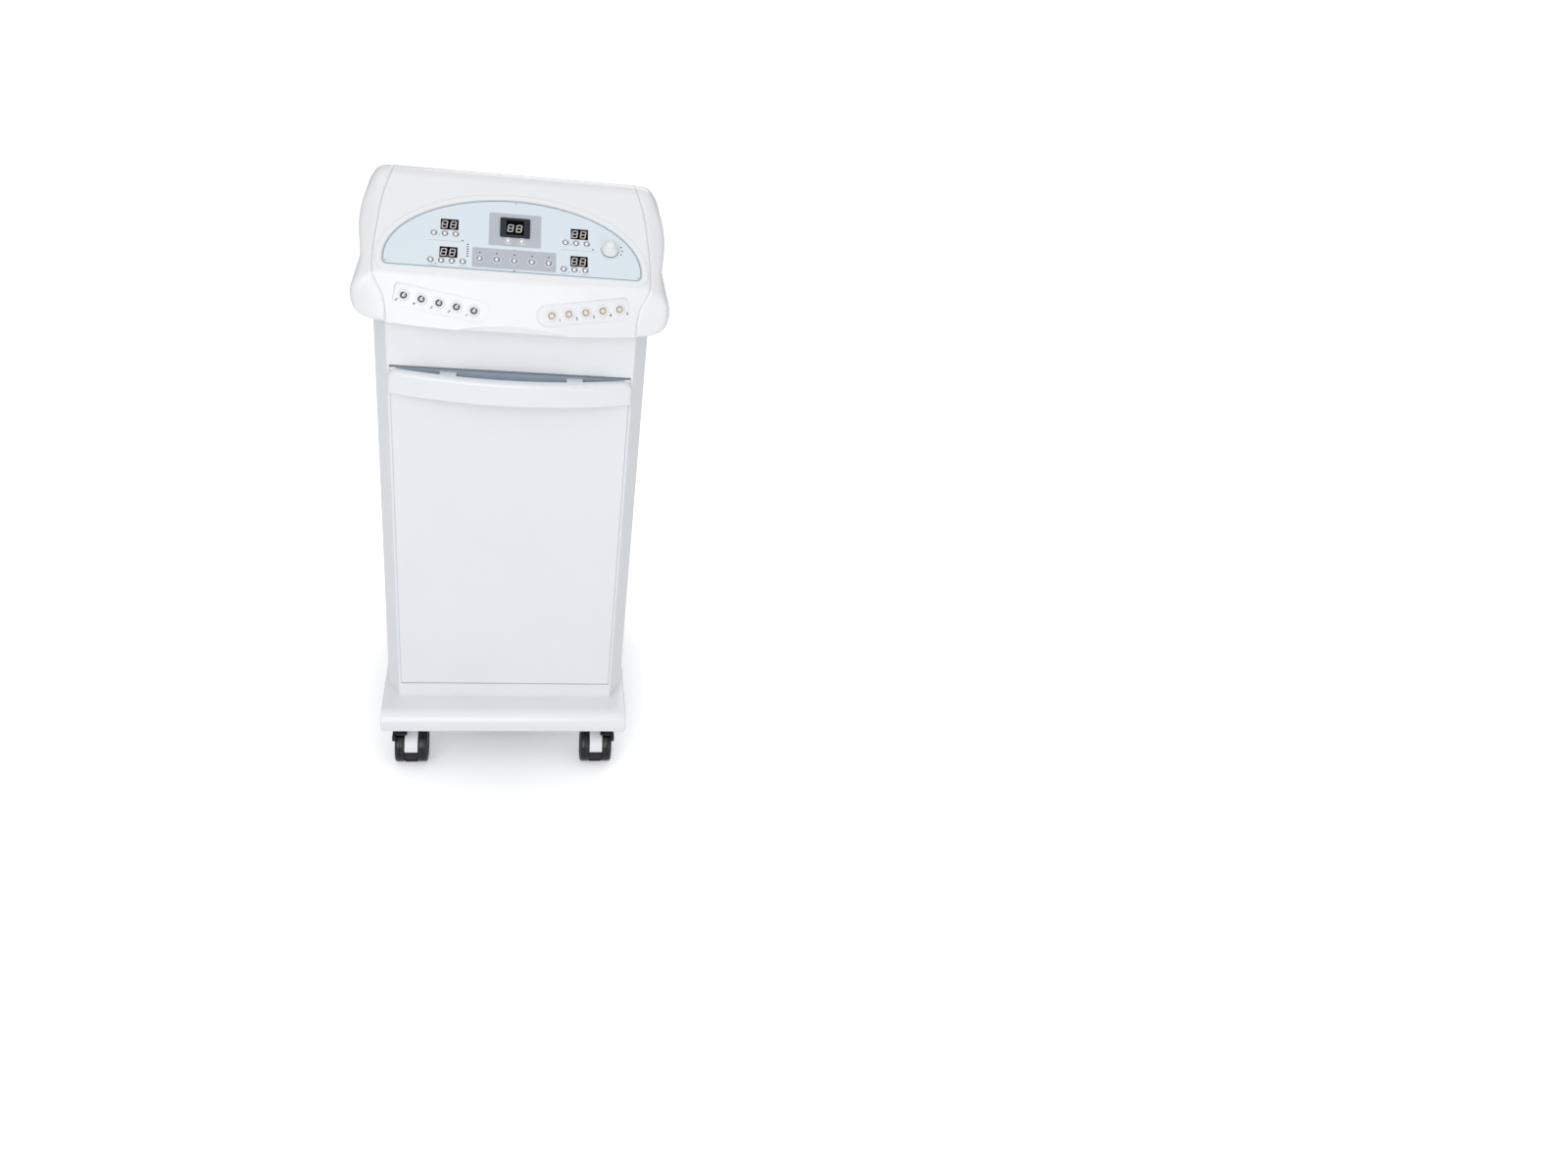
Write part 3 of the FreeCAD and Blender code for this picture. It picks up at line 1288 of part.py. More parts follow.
def build_parts():
    """Every sub-part by node name."""
    parts = {"base_plate": make_base_plate()}
    for corner, (x, y) in caster_places().items():
        parts[f"caster_hood_{corner}"] = make_caster_hood(x, y)
        parts[f"caster_wheels_{corner}"] = make_caster_wheels(x, y)
    parts["cabinet_shell"] = make_cabinet_shell()
    parts["bay_partition"] = make_partition()
    parts["rear_panel"] = make_rear_panel()
    parts["door_hinge_pins"] = make_hinge_pins()
    parts["door_panel"] = make_door_panel()
    parts["door_grip"] = make_door_grip()
    parts["grip_brackets"] = make_grip_brackets()
    centre, left, right = make_console_shells(make_console_skin())
    parts["console_shell"] = centre
    parts["end_cap_left"] = left
    parts["end_cap_right"] = right
    parts["console_floor"] = make_console_floor()
    parts["control_panel"] = make_control_panel()
    parts["digit_displays"] = make_digit_displays()
    parts["main_display"] = make_main_display()
    parts["button_guides"] = make_button_guides()
    for name, place in button_places().items():
        parts[name] = make_button(place)
    parts["mode_knob"] = make_mode_knob()
    parts["circuit_boards"] = Part.makeCompound([make_display_board(), make_main_board()])
    parts["ems_sockets"] = make_sockets(-1, ems_contacts)
    parts["heat_sockets"] = make_sockets(1, heat_contacts)
    parts["air_outlets"] = make_air_outlets()
    parts["valve_manifold"] = make_manifold()
    parts["solenoid_valves"] = make_valves()
    parts["compressor"] = make_compressor()
    parts["compressor_feet"] = make_compressor_feet()
    parts["air_hose"] = make_air_hose()
    parts["transformer"] = make_transformer()
    parts["mains_inlet"] = make_mains_inlet()
    parts["power_rocker"] = make_power_rocker()
    parts["fan_frame"] = make_fan_frame()
    parts["fan_rotor"] = make_fan_rotor()
    parts["fasteners"] = Part.makeCompound(panel_screws() + rear_screws())
    return parts


if __name__ == "__main__":
    os.makedirs("parts", exist_ok=True)
    for name, shape in build_parts().items():
        shape.exportStep(f"parts/{name}.step")
        print(name, "solids", len(shape.Solids), "valid", shape.isValid())
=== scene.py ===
import json
import logging
import math
from dataclasses import dataclass
from enum import Enum
from functools import cached_property
from typing import Iterable, Sequence

import bmesh
import bpy
from mathutils import Matrix, Vector
from mathutils.bvhtree import BVHTree


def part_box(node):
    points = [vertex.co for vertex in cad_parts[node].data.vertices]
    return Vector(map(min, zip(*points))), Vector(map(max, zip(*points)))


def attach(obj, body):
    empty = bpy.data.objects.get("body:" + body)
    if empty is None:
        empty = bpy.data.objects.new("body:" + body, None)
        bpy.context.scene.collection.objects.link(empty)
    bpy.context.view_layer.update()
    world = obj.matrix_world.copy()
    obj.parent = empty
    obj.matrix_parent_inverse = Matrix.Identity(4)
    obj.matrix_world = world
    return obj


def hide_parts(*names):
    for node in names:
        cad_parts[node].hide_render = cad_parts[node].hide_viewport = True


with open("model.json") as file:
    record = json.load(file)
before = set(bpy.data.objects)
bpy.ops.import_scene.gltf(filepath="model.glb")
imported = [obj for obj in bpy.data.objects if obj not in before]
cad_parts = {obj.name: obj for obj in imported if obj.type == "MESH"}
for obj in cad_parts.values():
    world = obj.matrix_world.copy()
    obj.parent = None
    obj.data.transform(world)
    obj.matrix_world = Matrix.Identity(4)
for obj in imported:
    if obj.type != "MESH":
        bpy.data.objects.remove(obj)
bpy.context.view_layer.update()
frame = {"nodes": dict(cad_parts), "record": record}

WHITE = (1.0, 1.0, 1.0, 1.0)
LOG = logging.getLogger("compression_pump")
Triple = tuple[float, float, float]
Colour = Triple
Point = tuple[float, float]
Table = tuple[tuple[float, ...], ...]
Socket = bpy.types.NodeSocket
Shape = bmesh.types.BMesh
Value = float | Sequence[float] | Socket


class Side(Enum):
    """Side of the trolley as the user sees it."""

    LEFT = -1
    RIGHT = 1


# Materials

class Graph:
    """Node tree of a material or of the world, built in small steps."""

    def __init__(self, owner: bpy.types.Material | bpy.types.World) -> None:
        """Start with an empty tree.

        Args:
            owner: what the tree belongs to.
        """
        owner.use_nodes = True
        self.tree = owner.node_tree
        self.tree.nodes.clear()

    def add(self, kind: str, inputs: dict[str | int, Value],
            **choices: str) -> bpy.types.NodeOutputs:
        """Add a node and fill its inputs.

        Args:
            kind: type of the node.
            inputs: constant or output of another node, for each input that gets one.
            choices: the node's own settings.

        Returns:
            The node's outputs.
        """
        node = self.tree.nodes.new(f"ShaderNode{kind}")
        for name, choice in choices.items():
            setattr(node, name, choice)
        for name, value in inputs.items():
            if isinstance(value, Socket):
                self.tree.links.new(value, node.inputs[name])
            else:
                node.inputs[name].default_value = value
        return node.outputs

    def coords(self, stretch: Sequence[float]) -> Socket:
        """Object coordinates scaled along X, Y and Z."""
        whole = self.add("TexCoord", {})["Object"]
        return self.add("Mapping", {"Vector": whole, "Scale": stretch})["Vector"]

    def noise(self, vector: Socket, scale: float, detail: float) -> Socket:
        """Cloudy noise between 0 and 1, of so many cells per metre."""
        return self.add("TexNoise", {"Vector": vector, "Scale": scale, "Detail": detail})["Fac"]

    def spread(self, value: Socket, low: float, high: float) -> Socket:
        """Map a value between 0 and 1 to another range."""
        return self.add("MapRange", {"Value": value, "To Min": low, "To Max": high})["Result"]

    def ramp(self, value: Socket, low: Colour, high: Colour) -> Socket:
        """Colour that runs from one to another as a value rises.

        Args:
            value: value between 0 and 1.
            low: colour at low values.
            high: colour at high values.

        Returns:
            The colour.
        """
        node = self.tree.nodes.new("ShaderNodeValToRGB")
        first, last = node.color_ramp.elements
        first.position, last.position = 0.3, 0.7
        first.color, last.color = (*low, 1.0), (*high, 1.0)
        self.tree.links.new(value, node.inputs["Fac"])
        return node.outputs["Color"]


@dataclass(frozen=True)
class Finish:
    """A surface finish: cloudy colour, uneven gloss and fine relief."""

    name: str
    colour: Colour
    roughness: float
    other_slot: str = ""
    drift: float = 0.03
    drift_scale: float = 6.0
    smear_scale: float = 7.0
    least_roughness: float = 0.02
    gloss_drift: float = 0.04
    grain_scale: float = 900.0
    grain_depth: float = 0.00002
    grain_strength: float = 0.2
    wave_scale: float = 25.0
    wave_depth: float = 0.0004
    wave_strength: float = 0.0
    metallic: float = 0.0
    coat: float = 0.0
    coat_roughness: float = 0.06
    shine: float = 0.5
    stretch: Triple = (1.0, 1.0, 1.0)

    @property
    def slot(self) -> str:
        """Slot of the record: the finish's own name, unless it belongs to another slot."""
        return self.other_slot or self.name

    def tinted(self, factor: float) -> Colour:
        """The colour made lighter or darker."""
        return tuple(min(1.0, max(0.0, part * factor)) for part in self.colour)

    @cached_property
    def material(self) -> bpy.types.Material:
        """The material, made when it is first asked for.

        Returns:
            The material.
        """
        material = bpy.data.materials.new(self.name)
        graph = Graph(material)
        vector = graph.coords(self.stretch)
        cloud = graph.noise(vector, self.drift_scale, 3.0)
        smear = graph.noise(vector, self.drift_scale * self.smear_scale, 4.0)
        relief = graph.add("Bump", {
            "Height": graph.noise(vector, self.grain_scale, 2.0),
            "Strength": self.grain_strength, "Distance": self.grain_depth})["Normal"]
        if self.wave_strength:
            relief = graph.add("Bump", {
                "Height": graph.noise(vector, self.wave_scale, 1.0), "Normal": relief,
                "Strength": self.wave_strength, "Distance": self.wave_depth})["Normal"]
        darker, lighter = self.tinted(1 - self.drift), self.tinted(1 + self.drift)
        smoothest = max(self.least_roughness, self.roughness - self.gloss_drift)
        shader = graph.add("BsdfPrincipled", {
            "Base Color": graph.ramp(cloud, darker, lighter),
            "Roughness": graph.spread(smear, smoothest, self.roughness + self.gloss_drift),
            "Normal": relief, "Metallic": self.metallic, "Coat Weight": self.coat,
            "Coat Roughness": self.coat_roughness, "Specular IOR Level": self.shine})["BSDF"]
        graph.add("OutputMaterial", {"Surface": shader})
        return material


WHITE_LACQUER = Finish("white_lacquer", (0.80, 0.82, 0.845), 0.22, drift=0.012,
                       grain_scale=700, grain_strength=0.12, wave_strength=0.01, coat=0.35)
DOOR_LACQUER = Finish("door_lacquer", (0.79, 0.81, 0.84), 0.2, drift=0.012,
                      grain_scale=700, grain_strength=0.1, wave_strength=0.01, coat=0.4)
# Mid blue-grey painted as the shade of the hairline round the door.
DOOR_SEAM_SHADE = Finish("door_seam_shade", (0.60, 0.64, 0.70), 0.6, "door_lacquer", drift=0.04)
# Dark blue-grey painted as the shade in the finger gap behind the grip.
GAP_SHADE = Finish("gap_shade", (0.31, 0.37, 0.44), 0.6, "door_lacquer", drift=0.05)
CONSOLE_PLASTIC = Finish("console_plastic", (0.795, 0.80, 0.812), 0.24, drift=0.01,
                         grain_scale=1500, grain_strength=0.15, coat=0.2)
PANEL_FILM = Finish("panel_film", (0.69, 0.76, 0.81), 0.42, drift=0.015,
                    grain_scale=2500, grain_strength=0.35, grain_depth=0.00003)
OUTLINE_INK = Finish("outline_ink", (0.22, 0.28, 0.35), 0.45, "panel_film", drift=0.08,
                     drift_scale=40)
FIELD_INK = Finish("field_ink", (0.465, 0.485, 0.54), 0.42, "panel_film", drift=0.03,
                   drift_scale=30, grain_scale=2500, grain_strength=0.35, grain_depth=0.00003)
PALE_INK = Finish("pale_ink", (0.70, 0.74, 0.79), 0.42, "panel_film", drift=0.03, drift_scale=60)
GREY_INK = Finish("grey_ink", (0.30, 0.33, 0.37), 0.5, "panel_film", drift=0.1, drift_scale=60)
BLACK_INK = Finish("black_ink", (0.03, 0.032, 0.036), 0.4, "display_black", drift=0.2,
                   drift_scale=60)
LAMP_LENS = Finish("lamp_lens", (0.006, 0.007, 0.01), 0.15, "display_black", drift=0.2, shine=0.3)
DISPLAY_BLACK = Finish("display_black", (0.001, 0.001, 0.0015), 0.3, drift=0.2,
                       shine=0.03)
FRAME_CHARCOAL = Finish("frame_charcoal", (0.022, 0.026, 0.033), 0.4, "display_black", drift=0.15,
                        grain_scale=2500, grain_strength=0.3, shine=0.2)
DIGIT_GREY = Finish("digit_grey", (0.56, 0.53, 0.50), 0.35, "display_black", drift=0.08,
                    drift_scale=200)
CLEAR_RING = Finish("clear_ring", (0.72, 0.75, 0.78), 0.1, coat=0.5)
# Near black painted as the shade in the gap between cap and ring.
RING_GAP_SHADE = Finish("ring_gap_shade", (0.05, 0.052, 0.06), 0.3, "clear_ring", drift=0.1)
BUTTON_CHROME = Finish("button_chrome", (0.78, 0.78, 0.80), 0.1, metallic=1.0,
                       grain_scale=3000, grain_strength=0.1)
CAP_PLASTIC = Finish("cap_plastic", (0.80, 0.80, 0.80), 0.16, "button_chrome", coat=0.6)
KNOB_WHITE = Finish("knob_white", (0.80, 0.80, 0.81), 0.25, grain_scale=2500)
BOARD_GREEN = Finish("board_green", (0.02, 0.12, 0.05), 0.45, drift=0.15, drift_scale=80)
SOCKET_WHITE = Finish("socket_white", (0.80, 0.80, 0.80), 0.25, "socket_chrome", drift=0.02)
SOCKET_CHROME = Finish("socket_chrome", (0.6, 0.6, 0.62), 0.18, metallic=1.0)
SOCKET_DARK = Finish("socket_dark", (0.015, 0.015, 0.017), 0.35, "socket_chrome", drift=0.2)
SOCKET_IVORY = Finish("socket_ivory", (0.78, 0.74, 0.66), 0.3)
SOCKET_BRASS = Finish("socket_brass", (0.46, 0.33, 0.16), 0.28, "socket_ivory", metallic=0.9,
                      drift=0.1)
GREY_SHEET = Finish("grey_sheet", (0.62, 0.64, 0.67), 0.5, drift=0.02,
                    grain_scale=1800, grain_strength=0.5, grain_depth=0.00005)
OUTLET_PLASTIC = Finish("outlet_plastic", (0.7, 0.71, 0.72), 0.25)
CAST_ALUMINIUM = Finish("cast_aluminium", (0.5, 0.51, 0.52), 0.45, metallic=1.0,
                        grain_scale=1200, grain_strength=0.6, grain_depth=0.00008)
FOOT_RUBBER = Finish("foot_rubber", (0.02, 0.02, 0.02), 0.7, drift=0.2)
HOSE_GREY = Finish("hose_grey", (0.22, 0.235, 0.26), 0.4, drift=0.05)
VALVE_BODY = Finish("valve_body", (0.015, 0.015, 0.017), 0.5, drift=0.2)
CORE_STEEL = Finish("core_steel", (0.2, 0.19, 0.18), 0.5, metallic=0.8,
                    stretch=(1.0, 1.0, 40.0), drift=0.25)
BLACK_PLASTIC = Finish("black_plastic", (0.012, 0.012, 0.014), 0.45, drift=0.15,
                       grain_scale=1500, grain_strength=0.4, grain_depth=0.00005)
GUARD_WIRE = Finish("guard_wire", (0.62, 0.62, 0.64), 0.22, "screw_steel", metallic=1.0)
ROCKER_PLASTIC = Finish("rocker_plastic", (0.015, 0.015, 0.017), 0.2)
SCREW_STEEL = Finish("screw_steel", (0.55, 0.55, 0.57), 0.3, metallic=1.0)
CASTER_WHITE = Finish("caster_white", (0.8, 0.81, 0.83), 0.3, drift=0.02)
CASTER_BLACK = Finish("caster_black", (0.01, 0.01, 0.012), 0.26, "caster_white", drift=0.15)
TYRE_BLACK = Finish("tyre_black", (0.008, 0.008, 0.009), 0.24, "wheel_black", drift=0.2,
                    grain_scale=1200, grain_strength=0.4, grain_depth=0.00005)
HUB_BLACK = Finish("hub_black", (0.012, 0.012, 0.014), 0.22, "wheel_black", drift=0.15)


NODE_FINISHES = (
    WHITE_LACQUER, DOOR_LACQUER, CONSOLE_PLASTIC, PANEL_FILM, DISPLAY_BLACK, CLEAR_RING,
    BUTTON_CHROME, KNOB_WHITE, BOARD_GREEN, SOCKET_CHROME, SOCKET_IVORY, GREY_SHEET,
    OUTLET_PLASTIC, CAST_ALUMINIUM, FOOT_RUBBER, HOSE_GREY, VALVE_BODY, CORE_STEEL,
    BLACK_PLASTIC, ROCKER_PLASTIC, SCREW_STEEL, CASTER_WHITE, TYRE_BLACK)


def dress_nodes() -> None:
    """Give every CAD node the finish of its slot in the record."""
    by_slot = {finish.slot: finish for finish in NODE_FINISHES}
    for part in frame["record"]["subparts"]:
        finish = by_slot[part["material_slot"]]
        data = frame["nodes"][part["node"]].data
        data.materials.clear()
        data.materials.append(finish.material)
        LOG.info("dressed %s in %s", part["node"], finish.name)


# Shapes

MM = Matrix.Scale(0.001, 4)
DESK_TILT = 40.0
SHARP_FROM = 38.0
RIM_FROM = 0.5
CORNER_STEPS = 5
EDGE_STEPS = 3
WIRE_SIDES = 8
HOOP_STEPS = 40
PRINT_DEPTH = 0.03
PRINT_SWELL = 0.04


def moved(x: float, y: float, z: float = 0.0) -> Matrix:
    """Translation by three lengths."""
    return Matrix.Translation((x, y, z))


def turned_about(axis: str, angle: float) -> Matrix:
    """Rotation about an axis by an angle in degrees."""
    return Matrix.Rotation(math.radians(angle), 4, axis)


def put(name: str, data: bpy.types.ID) -> bpy.types.Object:
    """Put an object into the scene.

    Args:
        name: name of the object.
        data: its mesh, curve, light or camera.

    Returns:
        The object.
    """
    item = bpy.data.objects.new(name, data)
    bpy.context.scene.collection.objects.link(item)
    return item


def shape_of(data: bpy.types.Mesh) -> Shape:
    """Copy a mesh for editing.

    Args:
        data: the mesh.

    Returns:
        The copy.
    """
    shape = bmesh.new()
    shape.from_mesh(data)
    return shape


def drawn_shape(holder: bpy.types.Object) -> Shape:
    """Copy an object as it is drawn, and drop the object.

    Args:
        holder: object of a curve, or of a mesh with modifiers.

    Returns:
        The copy.
    """
    drawn = holder.evaluated_get(bpy.context.evaluated_depsgraph_get())
    data = bpy.data.meshes.new_from_object(drawn)
    shape = shape_of(data)
    bpy.data.meshes.remove(data)
    bpy.data.objects.remove(holder)
    return shape


# Panel's face, in millimetres: to the right, up from its lower edge, and out of it
DESK = moved(0.0, -0.1624, 0.868) @ turned_about("X", DESK_TILT) @ moved(0.0, 0.012, 0.0005) @ MM
STRIP_PLACES = (-48.0, -24.5, 0.0, 24.5, 48.0)
STRIP_ROW = 19.0
DISPLAY_COLUMN = 91.0
KNOB_SPOT = (135.0, 48.0)


def thicken(shape: Shape, thickness: float, edge: float = 0.0) -> None:
    """Give a flat face a thickness, with the upper edges rounded.

    Args:
        shape: flat faces in the XY plane.
        thickness: height of the body above that plane.
        edge: radius of the upper edges, or 0.
    """
    raised = bmesh.ops.extrude_face_region(shape, geom=shape.faces[:])["geom"]
    top = {part for part in raised if isinstance(part, bmesh.types.BMVert)}
    bmesh.ops.translate(shape, vec=(0.0, 0.0, thickness), verts=list(top))
    if edge:
        rim = [line for line in shape.edges if top.issuperset(line.verts) and not line.is_boundary
               and line.calc_face_angle(0.0) > RIM_FROM]
        bmesh.ops.bevel(shape, geom=rim, offset=edge, segments=EDGE_STEPS, profile=0.5,
                        affect="EDGES", material=-1)


def flat_plate(width: float, height: float, corner: float) -> Shape:
    """Flat rectangle with rounded corners about the origin.

    Args:
        width: size along X.
        height: size along Y.
        corner: corner radius, or 0.

    Returns:
        The flat shape.
    """
    shape = bmesh.new()
    bmesh.ops.create_grid(shape, x_segments=1, y_segments=1, size=0.5)
    bmesh.ops.scale(shape, vec=(width, height, 1.0), verts=shape.verts)
    if corner:
        bmesh.ops.bevel(shape, geom=shape.verts[:], offset=corner, segments=CORNER_STEPS,
                        profile=0.5, affect="VERTICES", material=-1)
    return shape


def drop_points(shape: Shape, points: Sequence[bmesh.types.BMVert]) -> None:
    """Delete points and everything that hangs on them."""
    bmesh.ops.delete(shape, geom=points, context="VERTS")


def hollow_out(shape: Shape, band: float) -> None:
    """Leave a band along the edge of a flat shape.

    Args:
        shape: flat shape of one face.
        band: width of the band.
    """
    middle = shape.faces[:]
    bmesh.ops.inset_region(shape, faces=middle, thickness=band, use_boundary=True,
                           use_even_offset=True)
    bmesh.ops.delete(shape, geom=middle, context="FACES")


class Form:
    """A piece in the making: shapes made by mesh operators and joined, each in its own finish."""

    def __init__(self) -> None:
        """Start with nothing."""
        self.mesh = bmesh.new()

    def join(self, shape: Shape, place: Matrix, finish: int = 0) -> None:
        """Put a finished shape in its place and join it.

        Args:
            shape: the shape, used up here.
            place: its place.
            finish: number of its finish.
        """
        bmesh.ops.remove_doubles(shape, verts=shape.verts, dist=1e-5)
        bmesh.ops.recalc_face_normals(shape, faces=shape.faces)
        bmesh.ops.transform(shape, matrix=place, verts=shape.verts)
        for face in shape.faces:
            face.material_index = finish
        data = bpy.data.meshes.new("joined")
        shape.to_mesh(data)
        shape.free()
        self.mesh.from_mesh(data)
        bpy.data.meshes.remove(data)

    def turn(self, profile: Sequence[Point], place: Matrix, finish: int = 0,
             steps: int = 32) -> None:
        """Turn a profile about the Z axis.

        Args:
            profile: (radius, height) points.
            place: place of the axis.
            finish: number of its finish.
            steps: facets round the axis.
        """
        shape = bmesh.new()
        points = [shape.verts.new((radius, 0.0, height)) for radius, height in profile]
        lines = [shape.edges.new(pair) for pair in zip(points, points[1:])]
        bmesh.ops.spin(shape, geom=points + lines, cent=(0, 0, 0), axis=(0, 0, 1), dvec=(0, 0, 0),
                       angle=math.tau, steps=steps, use_merge=True)
        self.join(shape, place, finish)

    def plate(self, width: float, height: float, thickness: float, place: Matrix,
              finish: int = 0, corner: float = 0.0, edge: float = 0.0, band: float = 0.0) -> None:
        """Add a plate, or a frame, with rounded corners and upper edges.

        Args:
            width: size along X.
            height: size along Y.
            thickness: size along Z.
            place: place of the middle of its lower face.
            finish: number of its finish.
            corner: corner radius.
            edge: radius of the upper edges.
            band: width of a frame's bars, or 0 for a full plate.
        """
        shape = flat_plate(width, height, corner)
        if band:
            hollow_out(shape, band)
        thicken(shape, thickness, edge)
        self.join(shape, place, finish)

    def hoop(self, radius: float, wire: float, place: Matrix, finish: int = 0) -> None:
        """Add a ring of round wire.

        Args:
            radius: radius of the ring's middle line.
            wire: radius of the wire.
            place: place of the ring's middle.
            finish: number of its finish.
        """
        angles = [math.tau * part / WIRE_SIDES for part in range(WIRE_SIDES + 1)]
        section = [(radius + wire * math.cos(angle), wire * math.sin(angle)) for angle in angles]
        self.turn(section, place, finish, HOOP_STEPS)

    def number(self, text: str, height: float, place: Matrix) -> None:
        """Add a printed number.

        Args:
            text: its digits.
            height: size of the type.
            place: place of its middle.
        """
        curve = bpy.data.curves.new("number", "FONT")
        curve.body = text
        curve.size = height
        curve.align_x = "CENTER"
        curve.align_y = "CENTER"
        curve.extrude = PRINT_DEPTH
        curve.offset = height * PRINT_SWELL
        curve.resolution_u = 3
        self.join(drawn_shape(put("number", curve)), place)
        bpy.data.curves.remove(curve)

    def deliver(self, name: str, body: str, finishes: Sequence[Finish],
                stands_for: Iterable[str] = ()) -> None:
        """Turn the form into a piece that rides a body.

        Args:
            name: name of the piece.
            body: body that it rides on.
            finishes: finishes in the order that the form numbers them.
            stands_for: CAD nodes that it replaces.
        """
        data = bpy.data.meshes.new(name)
        self.mesh.to_mesh(data)
        self.mesh.free()
        for finish in finishes:
            data.materials.append(finish.material)
        data.shade_smooth()
        data.set_sharp_from_angle(angle=math.radians(SHARP_FROM))
        piece = put(name, data)
        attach(piece, body)
        for node in stands_for:
            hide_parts(node)
        LOG.info("built %s on %s, %d faces", name, body, len(data.polygons))


# Console

@dataclass
class EndCap:
    """Moulded end cap of the console, with its corners flowing into each other."""

    side: Side
    cell: float = 0.0018
    seam: float = 0.004
    foot: float = 0.003
    foot_rise: float = 0.0003
    lip_width: float = 0.006
    lip_edge: float = 0.0025
    lip_sink: float = 0.0003
    lip_slope: float = 0.2
    lip_reach: float = 0.0003
    lip_rounds: int = 9
    first_passes: int = 3
    passes: int = 60
    last_passes: int = 8

    def build(self) -> None:
        """Make the cap."""
        node = f"end_cap_{self.side.name.lower()}"
        data = frame["nodes"][node].data
        shell, cap = self.tree("console_shell"), self.tree(node)
        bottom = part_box(node)[0][2] + self.foot
        skin = self.even_skin(data)
        free = [point for point in skin.verts
                if point.co.z > bottom and shell.find_nearest(point.co, self.seam)[0] is None]
        loose = set(free)
        held = [point for point in skin.verts if point not in loose]
        for _ in range(self.first_passes):
            self.soften(skin, held)
        for point in held:
            point.co = cap.find_nearest(point.co)[0]
        for step in range(self.passes):
            foot = bottom + step * self.foot_rise
            self.soften(skin, [point for point in free if point.co.z > foot])
        for _ in range(self.last_passes):
            self.soften(skin, skin.verts[:])
        form = Form()
        form.join(skin, Matrix.Identity(4))
        form.join(self.lip(data, shell), Matrix.Identity(4))
        form.deliver(f"{node}_moulding", "trolley", (CONSOLE_PLASTIC,), (node,))

    def tree(self, node: str) -> BVHTree:
        """Search tree of a CAD node's surface.

        Args:
            node: name of the node.

        Returns:
            The tree.
        """
        shape = shape_of(frame["nodes"][node].data)
        found = BVHTree.FromBMesh(shape)
        shape.free()
        return found

    def lip(self, data: bpy.types.Mesh, shell: BVHTree) -> Shape:
        """Narrow lip that closes the joint with the shell and slopes under the cap's skin.

        Args:
            data: mesh of the cap.
            shell: tree of the shell.

        Returns:
            The lip.
        """
        shape = shape_of(data)
        bmesh.ops.remove_doubles(shape, verts=shape.verts, dist=1e-6)
        for _ in range(self.lip_rounds):
            drop_points(shape, [point for point in shape.verts if self.is_far(point, shell, max(
                line.calc_length() for line in point.link_edges))])
            drop_points(shape, [point for point in shape.verts if not point.link_faces])
            bmesh.ops.subdivide_edges(shape, edges=[line for line in shape.edges
                                                    if line.calc_length() > self.lip_edge], cuts=1)
            bmesh.ops.triangulate(shape, faces=shape.faces[:])
        drop_points(shape, [point for point in shape.verts if self.is_far(point, shell)])
        shape.normal_update()
        for point in shape.verts:
            away = shell.find_nearest(point.co)[3]
            point.co -= point.normal * (self.lip_sink + self.lip_slope * away)
        reach = -self.side.value * self.lip_reach
        bmesh.ops.translate(shape, vec=(reach, 0.0, 0.0), verts=shape.verts)
        return shape

    def is_far(self, point: bmesh.types.BMVert, shell: BVHTree, more: float = 0.0) -> bool:
        """Whether a point lies further from the shell than the lip is wide, and more."""
        return shell.find_nearest(point.co, self.lip_width + more)[0] is None

    def even_skin(self, data: bpy.types.Mesh) -> Shape:
        """Cover a mesh with faces of one size.

        Args:
            data: the mesh.

        Returns:
            The new skin.
        """
        holder = put("skin", data)
        grid = holder.modifiers.new("grid", "REMESH")
        grid.mode = "VOXEL"
        grid.voxel_size = self.cell
        return drawn_shape(holder)

    def soften(self, shape: Shape, points: Sequence[bmesh.types.BMVert]) -> None:
        """Move points half way to the middle of their neighbours."""
        bmesh.ops.smooth_vert(shape, verts=points, factor=0.5,
                              use_axis_x=True, use_axis_y=True, use_axis_z=True)


# Control panel

